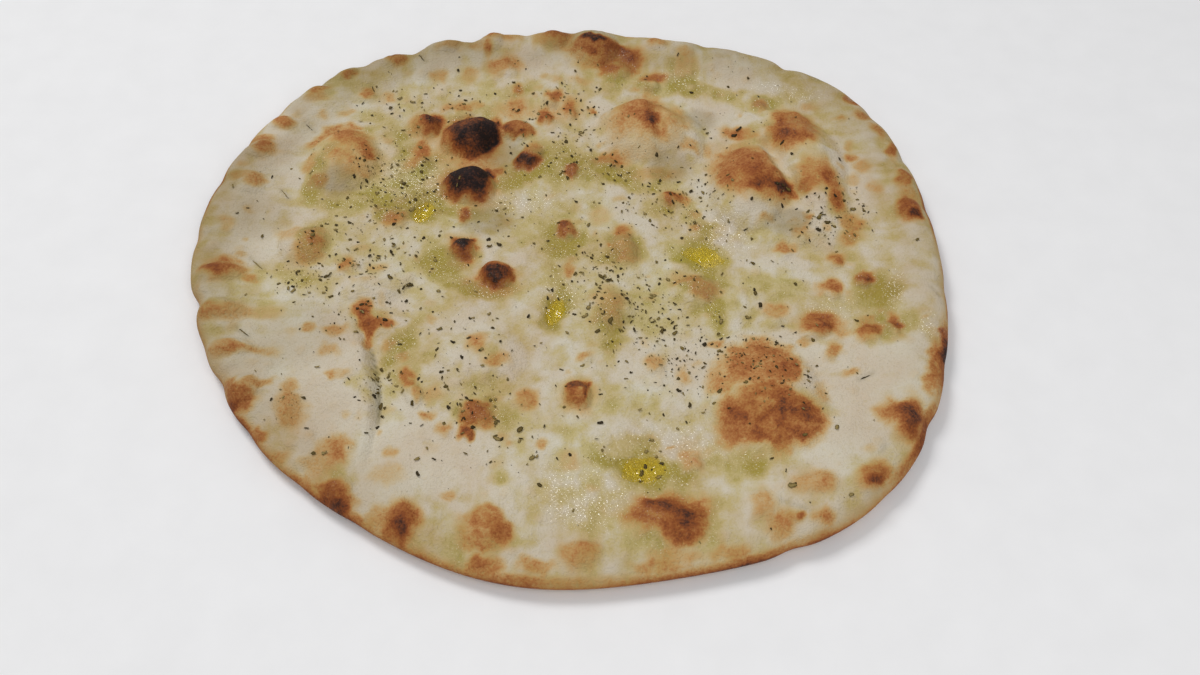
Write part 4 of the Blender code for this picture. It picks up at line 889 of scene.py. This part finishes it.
def crust_material():
    """Baked crust. Reads bake, oil, pool, glaze, under, and the painted shade of the hollows, rim, slits
    and crease, stored on the bread's points.
    """
    material, tree, shader = new_material("baked_crust")
    place = add_node(tree, "ShaderNodeTexCoord").outputs["Object"]
    bake, oil, pool, glaze, painted_shade, crease_shade, under = (
        add_node(tree, "ShaderNodeAttribute", attribute_name=name).outputs["Fac"]
        for name in ("bake", "oil", "pool", "glaze", "painted_shade", "crease_shade", "under")
    )
    skin, mottle, cloud, stone = (
        add_node(
            tree,
            "ShaderNodeTexNoise",
            {
                "Vector": place,
                "Scale": 1 / (grain * MM),
                "Detail": detail,
                "Roughness": 0.6,
                "Distortion": bend,
            },
        ).outputs["Fac"]
        for grain, detail, bend in (SKIN_NOISE, MOTTLE_NOISE, CLOUD_NOISE, STONE_NOISE)
    )
    pores = add_node(
        tree, "ShaderNodeTexVoronoi", {"Vector": place, "Scale": 1 / (PORE_GRAIN * MM)}, feature="F1"
    ).outputs["Distance"]

    # The bake is mottled: both grains push it up and down, the more the browner the crust is
    both = add_node(tree, "ShaderNodeMath", {0: skin, 1: mottle}, operation="ADD").outputs[0]
    push = add_node(tree, "ShaderNodeMath", {0: both, 1: -1.0}, operation="ADD").outputs[0]
    share = add_node(
        tree, "ShaderNodeMapRange", {"Value": bake, 2: 0.5, 3: MOTTLE_PALE, 4: MOTTLE_BROWN}
    ).outputs[0]
    pushed = add_node(
        tree, "ShaderNodeMath", {0: push, 1: share, 2: bake}, operation="MULTIPLY_ADD"
    ).outputs[0]
    browned = add_node(tree, "ShaderNodeValToRGB", {"Fac": pushed}, BAKE_STOPS).outputs["Color"]

    # Where no oil reached it, flour veils the brown
    flour = add_node(
        tree, "ShaderNodeMapRange", {"Value": oil, 1: 0.0, 2: FLOUR_DRY, 3: 0.0, 4: FLOUR_VEIL}
    ).outputs[0]

    # Oil soaks in unevenly, more in the lows of the grain, and yellows char least
    sunk = add_node(
        tree, "ShaderNodeMath", {0: push, 1: OIL_IN_LOWS, 2: oil}, operation="MULTIPLY_ADD"
    ).outputs[0]
    wet = add_node(tree, "ShaderNodeClamp", {"Value": sunk}).outputs[0]
    soaked = add_node(tree, "ShaderNodeValToRGB", {"Fac": wet}, OIL_STOPS).outputs["Color"]
    tinted = add_node(
        tree, "ShaderNodeMapRange", {"Value": pushed, 2: CHAR_FROM, 3: 1.0, 4: CHAR_YELLOW}
    ).outputs[0]

    # Broad clouds of warmer and cooler crust on top. The underside lay on the hot stone: gold ground,
    # leopard spots where it touched, flour between
    clouds = add_node(tree, "ShaderNodeValToRGB", {"Fac": cloud}, CLOUD_STOPS).outputs["Color"]
    spots = add_node(tree, "ShaderNodeValToRGB", {"Fac": stone}, STONE_STOPS).outputs["Color"]

    # The layers on the bake in the order they lie: share, colour, and how it mixes with what is under it
    colour = browned
    for share, layer, blend in (
        (flour, hex_colour(FLOUR), "MIX"),
        (tinted, soaked, "MULTIPLY"),
        (pool, hex_colour(POOL_YELLOW), "MIX"),
        (1.0, clouds, "MULTIPLY"),
        # Painted shade in the hollows and on the rim
        (painted_shade, hex_colour(PAINTED_SHADE_TINT), "MULTIPLY"),
        # Painted shade in the slits and along the crease of the fold
        (crease_shade, hex_colour(CREASE_SHADE_OLIVE), "MIX"),
        (under, spots, "MIX"),
    ):
        colour = add_node(
            tree, "ShaderNodeMix", {0: share, 6: colour, 7: layer}, data_type="RGBA", blend_type=blend
        ).outputs[2]
    tree.links.new(colour, shader.inputs["Base Color"])

    # The film glints as a coat over the matt crust, least where the crust is charred
    matt = add_node(tree, "ShaderNodeMapRange", {"Value": glaze, 3: DRY_ROUGH, 4: WET_ROUGH}).outputs[0]
    tree.links.new(matt, shader.inputs["Roughness"])
    dry = add_node(tree, "ShaderNodeMapRange", {"Value": bake, 1: 0.2, 2: 0.7, 3: 1.1, 4: 0.3}).outputs[0]
    film = add_node(tree, "ShaderNodeMath", {0: glaze, 1: dry}, operation="MULTIPLY").outputs[0]
    tree.links.new(film, shader.inputs["Coat Weight"])
    shader.inputs["Coat Roughness"].default_value = 0.12
    shader.inputs["Coat IOR"].default_value = 1.47
    shader.inputs["IOR"].default_value = 1.35
    shader.inputs["Specular IOR Level"].default_value = 0.3

    # The skin is finely wrinkled, and the oil on it stands in tiny domes that each catch the lamp
    domed = add_node(tree, "ShaderNodeMath", {0: pores, 1: pores}, operation="MULTIPLY").outputs[0]
    wrinkled = add_node(
        tree, "ShaderNodeMath", {0: domed, 1: BEAD_DENT, 2: both}, operation="MULTIPLY_ADD"
    ).outputs[0]
    rough = add_node(tree, "ShaderNodeMath", {0: mottle, 1: BEAD_UNEVEN}, operation="MULTIPLY").outputs[0]
    beaded = add_node(
        tree, "ShaderNodeMath", {0: domed, 1: -1.0, 2: rough}, operation="MULTIPLY_ADD"
    ).outputs[0]
    for height, high, socket in ((wrinkled, BUMP_HIGH, "Normal"), (beaded, BEAD_HIGH, "Coat Normal")):
        bump = add_node(tree, "ShaderNodeBump", {"Height": height, "Strength": 1.0, "Distance": high * MM})
        tree.links.new(bump.outputs["Normal"], shader.inputs[socket])
    return material


# The edge takes colour all round: how far in, over what distance it deepens, how deep, how much deeper
# underneath, at what height that begins, and over what distance
EDGE_IN = 4.5
EDGE_OVER = 4.0
EDGE_BAKE = 0.22
EDGE_BAKE_UNDER = 0.44
EDGE_UNDER = 8.0
EDGE_UNDER_OVER = 4.5
# Its spots end a little past their width, and it is blotched: how much, size of a blotch, seed
EDGE_SPOT_SOFT = 1.3
EDGE_BLOTCH = (0.35, 12.0, 95)
# Bumps brown a little more and hold less oil: what height counts as 1, and how much more or less
HIGH_RIPPLE = 0.5
HIGH_PIN = 0.6
RIPPLE_BAKE = 0.5
PIN_BAKE = 0.08
RIPPLE_OIL = 0.22
PIN_OIL = 0.15
# Shores of the pools wander: how much, size of a wave, seed. The yellow fades out from this share of the
# wet outline, over so much of it
POOL_WAVES = ((0.3, 4.0, 96), (0.15, 2.0, 101))
POOL_SHORE = 0.35
POOL_FADE = 0.9
POOL_DEEPEST = 0.9
# The crease along the foot of the fold, darkened by painted shade: half width, from y to y, distance over
# which it ends, how dark
CREASE_WIDE = 0.7
CREASE_NEAR = -86
CREASE_FAR = -44
CREASE_END = 8
CREASE_SHADE = 0.8
# How dark the painted shade in the slits of the rim is
SLIT_SHADE = 0.22
# The stone's spots have faded out at this height, and oil glints only above the second
STONE_UP = 1.5
GLAZE_UP = 3


def edge_bake(x, y, z, inward):
    """How brown the edge is: a band all round, deeper underneath, and the spots where it browned more."""
    angle = np.arctan2(y, x)
    under = EDGE_BAKE_UNDER * eased((EDGE_UNDER - z) / EDGE_UNDER_OVER)
    deepest = eased((EDGE_IN - inward) / EDGE_OVER) * (EDGE_BAKE + under)
    for turn, spread, wide, deep in EDGE_BROWNED:
        window = np.exp(-((degrees_between(angle, turn) / spread) ** 2))
        deepest = np.maximum(deepest, deep * window * eased((wide * EDGE_SPOT_SOFT - inward) / wide))
    share, cell, seed = EDGE_BLOTCH
    return deepest * (1 + share * swell(x, y, cell, seed))


def pool_share(x, y):
    """1 in the oil pools and 0 away from them, with a shore that wanders."""
    deepest = np.zeros_like(x)
    for pool in POOLS:
        q = np.hypot(*turned(x, y, pool))
        for share, cell, seed in POOL_WAVES:
            q += share * swell(x, y, cell, seed)
        deepest = np.maximum(deepest, 1 - eased((q - POOL_SHORE) / POOL_FADE))
    return deepest


def crease_shade_share(x, y):
    """How dark the painted shade in the slits and in the crease of the fold is."""
    ends = eased((y - CREASE_NEAR) / CREASE_END) * eased((CREASE_FAR - y) / CREASE_END)
    crease = np.exp(-((left_of_fold(x, y) / CREASE_WIDE) ** 2)) * ends
    return np.maximum(SLIT_SHADE * slit_depth(x, y), CREASE_SHADE * crease)


def make_bread():
    """The bread as one closed piece, with what the oven and the oil did to it noted on its points."""
    places, faces = bread_points()
    x, y, z = places.T
    bread = mesh_piece("focaccia_crust", places, faces, crust_material())
    inward = reach(np.arctan2(y, x)) - np.hypot(x, y)
    ripples = skin_ripples(x, y) / HIGH_RIPPLE
    pins = pin_bubbles(x, y) / HIGH_PIN
    bake = np.maximum(bake_depth(x, y), edge_bake(x, y, z, inward))
    oil = np.clip(oil_share(x, y) - RIPPLE_OIL * ripples - PIN_OIL * pins, FLOUR_DRY, 1)
    pooled = pool_share(x, y)
    notes = {
        "bake": np.clip(bake + PIN_BAKE * pins + RIPPLE_BAKE * ripples * bake * (1 - bake), 0, 1),
        "oil": np.maximum(oil, pooled),
        "pool": POOL_DEEPEST * pooled,
        # Painted shade in the slits and along the crease of the fold
        "crease_shade": crease_shade_share(x, y),
        "glaze": glaze_share(x, y, oil) * (z > GLAZE_UP),
        # Painted shade in the hollows and on the rim
        "painted_shade": painted_shade_share(x, y, inward),
        "under": eased((STONE_UP - z) / STONE_UP),
    }
    for name, values in notes.items():
        note_on_points(bread, name, values)
    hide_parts("focaccia")
    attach(bread, "root")


make_bread()


# The oil: olive oil poured on after baking, which has run into the pans of the crust.
# Most has soaked in as a film. What stands is clear and greenish yellow, with a mirror-smooth level top.
OIL_RINGS = 10
OIL_SPOKES = 56
OIL_SINK = 0.12
# The shore is where the crust comes this near the pool's level. It is looked for at so many places along
# a spoke, out to this share of the wet outline
SHORE_STEPS = 70
SHORE_REACH = 1.15
SHORE_UNDER = 0.1
# Thick oil holds together short of that, at this share on average. It wanders: how much, radius of the
# ring that the wave is read on, size of a wave, seed
FILM_SHORE = 0.92
FILM_WAVE = (0.3, 8, 4.5, 102)
# The film follows the pores under it: size and height of its waves
OIL_WAVE = 2.4
OIL_WAVE_HIGH = 0.9
OIL_COLOUR = "f6ee9c"


def oil_material():
    """Olive oil: clear, yellow by depth, smooth as a mirror, with the IOR of a vegetable oil."""
    material, tree, shader = new_material("olive_oil")
    shader.inputs["Base Color"].default_value = hex_colour(OIL_COLOUR)
    shader.inputs["Roughness"].default_value = 0.04
    shader.inputs["IOR"].default_value = 1.47
    shader.inputs["Transmission Weight"].default_value = 1.0
    place = add_node(tree, "ShaderNodeTexCoord").outputs["Object"]
    waves = add_node(
        tree, "ShaderNodeTexNoise", {"Vector": place, "Scale": 1 / (OIL_WAVE * MM), "Detail": 1.0}
    ).outputs["Fac"]
    high = OIL_WAVE_HIGH * MM
    bump = add_node(tree, "ShaderNodeBump", {"Height": waves, "Strength": 1.0, "Distance": high})
    tree.links.new(bump.outputs["Normal"], shader.inputs["Normal"])
    return material


def pool_points(pool):
    """A level lens of oil: along each spoke it reaches to where the crust comes up through its level.

    Its top is flat and sinks to the crust at the shore, and its bottom lies just inside the crust.
    """
    spokes = np.linspace(0, 2 * math.pi, OIL_SPOKES, endpoint=False)
    c = math.cos(math.radians(pool.turn))
    s = math.sin(math.radians(pool.turn))
    along = 0.5 * pool.long * np.cos(spokes)
    across = 0.5 * pool.wide * np.sin(spokes)
    step = np.stack([along * c - across * s, along * s + across * c])
    shares = np.linspace(0, SHORE_REACH, SHORE_STEPS)
    ways = np.array([[pool.x], [pool.y]])[:, :, None] + step[:, :, None] * shares
    dry = crust_height(ways[0].ravel(), ways[1].ravel()).reshape(OIL_SPOKES, -1) > PAN_LEVEL - SHORE_UNDER
    shore = shares[np.where(dry.any(axis=1), dry.argmax(axis=1), len(shares) - 1)]
    share, radius, cell, seed = FILM_WAVE
    wave = swell(pool.x + radius * np.cos(spokes), pool.y + radius * np.sin(spokes), cell, seed)
    shore = np.minimum(shore, FILM_SHORE + share * wave)
    ring = np.linspace(1 / OIL_RINGS, 1, OIL_RINGS)[:, None] * shore
    x = np.append(pool.x, pool.x + (ring * step[0]).ravel())
    y = np.append(pool.y, pool.y + (ring * step[1]).ravel())
    crust = crust_height(x, y)
    top = np.maximum(PAN_LEVEL, crust - OIL_SINK)
    top[-OIL_SPOKES:] = crust[-OIL_SPOKES:] - OIL_SINK
    bottom = np.minimum(crust, PAN_LEVEL) - OIL_SINK
    bottom[-OIL_SPOKES:] = top[-OIL_SPOKES:] - OIL_SINK
    places = np.concatenate([np.stack([x, y, top], axis=1), np.stack([x, y, bottom], axis=1)])

    k = np.arange(OIL_SPOKES)
    n = (k + 1) % OIL_SPOKES
    faces = [(0, 1 + a, 1 + b) for a, b in zip(k, n)]
    for r in range(OIL_RINGS - 1):
        near = 1 + r * OIL_SPOKES
        far = near + OIL_SPOKES
        faces += [(near + a, far + a, far + b, near + b) for a, b in zip(k, n)]
    half = len(x)
    faces += [tuple(half + v for v in face[::-1]) for face in faces]
    edge = half - OIL_SPOKES
    faces += [(half + edge + a, half + edge + b, edge + b, edge + a) for a, b in zip(k, n)]
    return places, [tuple(int(v) for v in face) for face in faces]


oil_look = oil_material()
for pool in POOLS:
    lens = mesh_piece(pool.name + "_oil", *pool_points(pool), oil_look)
    lens.visible_shadow = False
    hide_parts(pool.name)
    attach(lens, "root")


# The oregano: dried leaf, rubbed to flakes between the fingers over the wet bread.
# Each flake is a thin curled chip of leaf, from near-black green to straw.

# Patches where the largest flakes fell thickly: place, spread and share of the flakes
Patch = namedtuple("Patch", "x y spread share")
OREGANO_PATCHES = [Patch(*row) for row in (
    (28, -25, 14, 12), (16, -10, 6, 5), (42, -45, 14, 6), (-80, 45, 13, 8), (-85, 5, 20, 10),
    (-70, -15, 20, 7), (0, 80, 20, 7), (-60, 95, 20, 5), (5, 62, 12, 4), (30, 42, 16, 5), (52, 40, 8, 3),
    (106, 26, 8, 5), (72, 92, 18, 3), (75, -50, 18, 5), (-68, -60, 6, 3), (-30, -78, 16, 6),
    (0, 10, 45, 10), (0, 0, 90, 12),
)]
OREGANO_SEED = 21
OREGANO_FLAKES = 104
OREGANO_LONGEST = 4.8
OREGANO_SHORTEST = 2.6
OREGANO_SPACING = 2.6
OREGANO_SLANT = 14.0
# Widths as shares of the length
OREGANO_WIDTHS = (0.4, 0.62)
# The part of such a flake that stands clear of the crust it is bedded in
BEDDED = 0.42
# They keep this far from a pool's middle, as a share of its outline
POOL_CLEAR = 1.5
# Single leaves large enough to know by their place: x, y, length, turn
LEAVES = np.array((
    (83, -104, 4.6, 10), (-66, 24, 3.6, 60), (-62, -17, 3.8, 20), (-70, -15, 3.4, -60),
    (-95, -15, 3.2, 40), (101, -80, 2.8, 70), (103, -108, 2.6, 30), (77, -22, 3.2, 80),
    (72, -28, 3.0, 15), (73, 76, 3.6, 35), (71, 73, 3.4, 20), (15, -80, 3.0, 10), (-14, -84, 3.2, 50),
    (-22, -88, 3.4, -30), (-23, -81, 3.0, 70), (-9, -96, 3.0, 25), (48, -70, 2.8, 80),
    (44, -64, 2.6, -20), (-28, 5, 3.4, -35), (-32, 4, 3.0, 20), (8, 18, 2.8, 75), (8, -31, 3.4, 20),
    (18, -34, 3.2, 60), (13, -38, 3.0, 35), (38, -36, 3.4, 85), (43, -37, 3.2, 50), (-48, -39, 3.0, 15),
    (61, -31, 3.2, 60), (-67, 62, 3.0, -30), (-79, 90, 3.2, 40), (-73, 88, 3.0, -10), (11, 101, 2.8, 60),
    (-50, -97, 2.8, 30), (-49, -103, 2.6, -60), (-83, -96, 2.6, 45), (-87, -96, 2.4, 0),
    (-103, 3, 3.0, 60), (-92, -25, 2.8, 10), (-107, -23, 3.2, 50), (119, 30, 3.4, 20), (143, 12, 2.6, 40),
    (14, -10, 3.8, -50), (17, -12, 3.4, 10), (-68, -68, 3.6, 75), (-66, -74, 3.4, 85),
    (-42, -46, 2.8, -40), (107, 20, 3.4, 30), (103, 16, 3.0, -20), (92, 38, 3.2, 10), (30, -99, 3.0, 70),
    (36, -101, 2.6, 15),
))
# Bits of thin stalk: x, y, length, turn
STALKS = np.array((
    (-72, 117, 5.0, -60), (-92, 96, 4.6, -62), (-116, 70, 6.0, -42), (-120, 30, 6.0, -45),
    (-142, 32, 3.4, -70), (-124, -9, 6.0, -42), (-122, -44, 4.6, -35), (115, -55, 4.6, 30),
))
STALK_WIDE = 0.5
# A leaf is curled: length and width that show, as shares of its length, and its bend
LEAF_LONG = 0.75
LEAF_WIDE = 0.45
LEAF_BEND = 0.2
# Where the small flakes lie thick
DUSTING = [Patch(*row) for row in (
    (30, -26, 12, 90), (14, -9, 5, 24), (40, -38, 9, 36), (42, -50, 6, 20), (48, -62, 8, 16),
    (-78, 46, 9, 60), (-72, 30, 14, 44), (-88, 6, 16, 56), (-68, -8, 12, 40), (-104, -16, 8, 26),
    (-85, -27, 16, 32), (-69, -66, 4, 26), (-78, -34, 8, 14), (-100, -76, 3, 12), (-26, -80, 12, 36),
    (-52, -68, 12, 22), (-35, -48, 12, 22), (-3, 88, 13, 50), (-68, 86, 16, 44), (-30, 92, 14, 20),
    (5, 62, 9, 34), (-48, 0, 18, 30), (-15, 28, 20, 36), (30, 40, 13, 34), (46, 28, 8, 22),
    (60, 40, 7, 16), (105, 18, 5, 30), (119, 30, 5, 16), (95, 40, 12, 20), (70, 80, 18, 22),
    (62, 8, 18, 30), (80, -30, 18, 26), (75, -50, 9, 56), (64, -44, 8, 20), (84, -62, 10, 22),
    (20, -72, 16, 16), (32, -98, 5, 8), (5, -20, 14, 26), (20, 5, 20, 24), (-100, 55, 16, 14),
    (60, 112, 24, 8), (0, 0, 90, 90),
)]
DUST_SEED = 23
DUST_FLAKES = 2220
DUST_LONGEST = 1.9
DUST_SHORTEST = 0.35
DUST_SPACING = 0.8
DUST_WIDTHS = (0.3, 0.85)
DUST_BENDS = (-0.2, 0.3)
DUST_SLANT = 0.3
# The further above 1, the more of them are small
DUST_SMALLER = 2.2
# A chip: thickness, points along and across, how ragged its points and its outline are, taper, twist
FLAKE_THICK = 0.18
FLAKE_GRID = (5, 3)
RAGGED_ALONG = 0.2
RAGGED_ACROSS = 0.15
RAGGED_WIDTH = 0.42
FLAKE_TAPER = 0.45
FLAKE_TWIST = 0.25
# The crust's slope is taken over this distance to each side, and a chip lies at least this far above the
# crust and up to so much more
SLOPE_STEP = 1.2
LIE_LEAST = 0.05
LIE_MORE = 0.25


def scattered(taken, patches, count, seed, rim, spacing, clear):
    """Seeded places, thick in the patches: inside the rim, clear of the pools and of each other."""
    draw = np.random.default_rng(seed)
    shares = np.array([patch.share for patch in patches], float)
    places = list(taken)
    while len(places) < len(taken) + count:
        patch = patches[draw.choice(len(shares), p=shares / shares.sum())]
        x = patch.x + patch.spread * draw.normal()
        y = patch.y + patch.spread * draw.normal()
        edge = reach(np.array([math.atan2(y, x)]))[0]
        wet = any(math.hypot(*turned(x, y, pool)) < clear for pool in POOLS)
        if wet or math.hypot(x, y) > edge - rim:
            continue
        near = np.array(places).reshape(-1, 2) - (x, y)
        if (near**2).sum(axis=1).min(initial=np.inf) > spacing**2:
            places.append((x, y))
    return places[len(taken):], draw


def all_flakes():
    """Place, length, width, bend, turn and slant of every flake: bedded ones, leaves, stalks and dust."""
    bedded, draw = scattered(
        [], OREGANO_PATCHES, OREGANO_FLAKES, OREGANO_SEED, RIM_WIDE, OREGANO_SPACING, POOL_CLEAR
    )
    rows = []
    for k, (x, y) in enumerate(bedded):
        share = k / (OREGANO_FLAKES - 1)
        long = OREGANO_LONGEST + (OREGANO_SHORTEST - OREGANO_LONGEST) * share**0.5
        wide = long * draw.uniform(*OREGANO_WIDTHS)
        bend = draw.uniform(0.0, 0.3)
        spin = draw.uniform(0, 2 * math.pi)
        slant = math.radians(OREGANO_SLANT) * draw.normal() / 2
        rows.append((x, y, BEDDED * long, BEDDED * wide, bend, spin, slant))
    for x, y, long, turn in LEAVES:
        rows.append((x, y, LEAF_LONG * long, LEAF_WIDE * long, LEAF_BEND, math.radians(turn), 0.0))
    for x, y, long, turn in STALKS:
        rows.append((x, y, long, STALK_WIDE, 0.0, math.radians(turn), 0.0))
    large = [row[:2] for row in rows]
    dust, draw = scattered(large, DUSTING, DUST_FLAKES, DUST_SEED, RIM_CREST_IN / 2, DUST_SPACING, 0)
    for x, y in dust:
        long = DUST_SHORTEST + (DUST_LONGEST - DUST_SHORTEST) * draw.uniform() ** DUST_SMALLER
        wide = long * draw.uniform(*DUST_WIDTHS)
        bend = draw.uniform(*DUST_BENDS)
        rows.append((x, y, long, wide, bend, draw.uniform(0, 6.3), DUST_SLANT * draw.normal()))
    return np.array(rows), draw


def flakes_mesh():
    """All flakes as one mesh: each a lens-thin chip of 5 by 3 points a side, with a broken outline.

    Along the chip u and across it v run from -1 to 1. Half width is a random share at each u and side,
    times 1 - FLAKE_TAPER u^2. The curl lifts the ends by bend times u^2, and a twist lifts opposite
    corners. The chip is laid on the crust's slope.
    """
    rows, draw = all_flakes()
    x, y, long, wide, bend, spin, slant = rows.T[:, :, None]
    count = len(rows)
    lines = (np.linspace(-1, 1, points) for points in FLAKE_GRID)
    u, v = (side.ravel() for side in np.meshgrid(*lines, indexing="ij"))
    inner = (np.abs(u) < 1) & (np.abs(v) < 1)
    ragged = draw.uniform(-1, 1, (2, count, len(u)))
    along = long / 2 * (u + RAGGED_ALONG * ragged[0])
    half_width = wide / 2 * (v + RAGGED_ACROSS * ragged[1]) * (1 + RAGGED_WIDTH * ragged[1])
    across = half_width * (1 - FLAKE_TAPER * u**2)
    twist = draw.uniform(-FLAKE_TWIST, FLAKE_TWIST, (count, 1))
    rise = long * (0.5 * bend * u**2 + 0.5 * twist * u * v) + across * np.sin(slant)
    chips = [
        np.stack([along, across, rise + side * FLAKE_THICK / 2 * inner], axis=2) for side in (1, -1)
    ]

    # Lay them on the crust: its slope from heights a little way apart
    step = SLOPE_STEP
    cx = x[:, 0]
    cy = y[:, 0]
    here = crust_height(cx, cy)
    slope_x = (crust_height(cx + step, cy) - crust_height(cx - step, cy)) / (2 * step)
    slope_y = (crust_height(cx, cy + step) - crust_height(cx, cy - step)) / (2 * step)
    lie = FLAKE_THICK / 2 + LIE_LEAST + draw.uniform(0, LIE_MORE, count)
    grid = np.arange(len(u)).reshape(FLAKE_GRID)
    quads = np.stack([grid[:-1, :-1], grid[1:, :-1], grid[1:, 1:], grid[:-1, 1:]], axis=2).reshape(-1, 4)
    below = np.where(inner, len(u) + np.cumsum(inner) - 1, np.arange(len(u)))
    places = []
    for chip in chips:
        px = chip[:, :, 0] * np.cos(spin) - chip[:, :, 1] * np.sin(spin)
        py = chip[:, :, 0] * np.sin(spin) + chip[:, :, 1] * np.cos(spin)
        pz = here[:, None] + slope_x[:, None] * px + slope_y[:, None] * py + chip[:, :, 2] + lie[:, None]
        places.append(np.stack([x + px, y + py, pz], axis=2))
    each = np.concatenate([places[0], places[1][:, inner]], axis=1)
    faces = np.concatenate([quads, below[quads][:, ::-1]])
    offsets = np.arange(count)[:, None, None] * each.shape[1]
    all_faces = (faces[None] + offsets).reshape(-1, 4)
    tone = np.repeat(draw.uniform(0, 1, count), each.shape[1])
    return each.reshape(-1, 3), all_faces.tolist(), tone


# Grain of the leaf's veins and fur, and how much it changes the tone
LEAF_GRAIN = 0.6
LEAF_MOTTLE = 0.3
FUR_HIGH = 0.1
LEAF_STOPS = ((0.1, "2c2314"), (0.45, "44381d"), (0.75, "635328"), (0.95, "82703e"), (1.0, "927f4e"))


def oregano_material():
    """Dried oregano leaf: matt, from near-black green through olive to straw, and a little furred."""
    material, tree, shader = new_material("dried_oregano")
    place = add_node(tree, "ShaderNodeTexCoord").outputs["Object"]
    tone = add_node(tree, "ShaderNodeAttribute", attribute_name="tone").outputs["Fac"]
    vein = add_node(
        tree, "ShaderNodeTexNoise", {"Vector": place, "Scale": 1 / (LEAF_GRAIN * MM), "Detail": 2}
    ).outputs["Fac"]
    mixed = add_node(
        tree, "ShaderNodeMath", {0: vein, 1: LEAF_MOTTLE, 2: tone}, operation="MULTIPLY_ADD"
    ).outputs[0]
    leaf = add_node(tree, "ShaderNodeValToRGB", {"Fac": mixed}, LEAF_STOPS).outputs["Color"]
    tree.links.new(leaf, shader.inputs["Base Color"])
    shader.inputs["Roughness"].default_value = 0.7
    shader.inputs["Specular IOR Level"].default_value = 0.2
    bump = add_node(tree, "ShaderNodeBump", {"Height": vein, "Strength": 0.5, "Distance": FUR_HIGH * MM})
    tree.links.new(bump.outputs["Normal"], shader.inputs["Normal"])
    return material


flake_points, flake_faces, flake_tone = flakes_mesh()
oregano = mesh_piece("oregano", flake_points, flake_faces, oregano_material())
note_on_points(oregano, "tone", flake_tone)
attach(oregano, "root")


# The studio: a pale floor, a soft light high on the far left, a wide fill and an even sky.
# The camera stands where the eater's eyes are, 53 degrees above the table.

# The floor's width in metres, and how far it lies under the bread in millimetres
FLOOR_WIDE = 40.0
FLOOR_DROP = 0.2
FLOOR_STOPS = ((0.3, "f1f1f2"), (0.7, "f4f4f5"))
# Waves of the brush grain to the metre
BRUSH_WAVES = 60.0
# The lamps: places and sizes in metres, powers in watts
KEY_PLACE = (-1.10, 1.20, 1.90)
KEY_SIZE = 0.85
KEY_POWER = 27.0
FILL_PLACE = (0.30, -0.70, 1.10)
FILL_SIZE = 1.0
FILL_POWER = 5.8
SKY_STRENGTH = 0.34
# The camera: place in metres, degrees it looks down and is rolled, lens in millimetres
CAMERA_PLACE = (0.0140, -0.3090, 0.3684)
CAMERA_DOWN = 53.3
CAMERA_ROLL = 1.5
CAMERA_LENS = 35.0


def floor_material():
    """Matt pale board: near-white paint with a trace of brush grain."""
    material, tree, shader = new_material("pale_board")
    place = add_node(tree, "ShaderNodeTexCoord").outputs["Object"]
    grain = add_node(
        tree, "ShaderNodeTexNoise", {"Vector": place, "Scale": BRUSH_WAVES, "Detail": 3}
    ).outputs["Fac"]
    paint = add_node(tree, "ShaderNodeValToRGB", {"Fac": grain}, FLOOR_STOPS).outputs["Color"]
    tree.links.new(paint, shader.inputs["Base Color"])
    shader.inputs["Roughness"].default_value = 0.7
    return material


def area_light(name, place, size, power):
    """A square soft light that points at the middle of the bread."""
    lamp = bpy.data.lights.new(name, "AREA")
    lamp.size = size
    lamp.energy = power
    light = bpy.data.objects.new(name, lamp)
    light.location = place
    x, y, z = place
    light.rotation_euler = (math.atan2(math.hypot(x, y), z), 0, math.atan2(x, -y))
    bpy.context.scene.collection.objects.link(light)


half = FLOOR_WIDE / 2 / MM
corners = np.array([(x * half, y * half, -FLOOR_DROP) for x, y in ((-1, -1), (1, -1), (1, 1), (-1, 1))])
floor = mesh_piece("floor", corners, [(0, 1, 2, 3)], floor_material())
area_light("key", KEY_PLACE, KEY_SIZE, KEY_POWER)
area_light("fill", FILL_PLACE, FILL_SIZE, FILL_POWER)
world = bpy.data.worlds.new("sky")
world.use_nodes = True
world.node_tree.nodes["Background"].inputs["Color"].default_value = (1.0, 1.0, 1.0, 1.0)
world.node_tree.nodes["Background"].inputs["Strength"].default_value = SKY_STRENGTH
bpy.context.scene.world = world
bpy.context.scene.view_settings.view_transform = "Standard"

eye = bpy.data.cameras.new("eye")
eye.lens = CAMERA_LENS
eye.clip_start = 0.01
camera = bpy.data.objects.new("eye", eye)
down = Matrix.Rotation(math.radians(90 - CAMERA_DOWN), 4, "X")
roll = Matrix.Rotation(math.radians(CAMERA_ROLL), 4, "Z")
camera.matrix_world = Matrix.Translation(CAMERA_PLACE) @ down @ roll
bpy.context.scene.collection.objects.link(camera)
bpy.context.scene.camera = camera
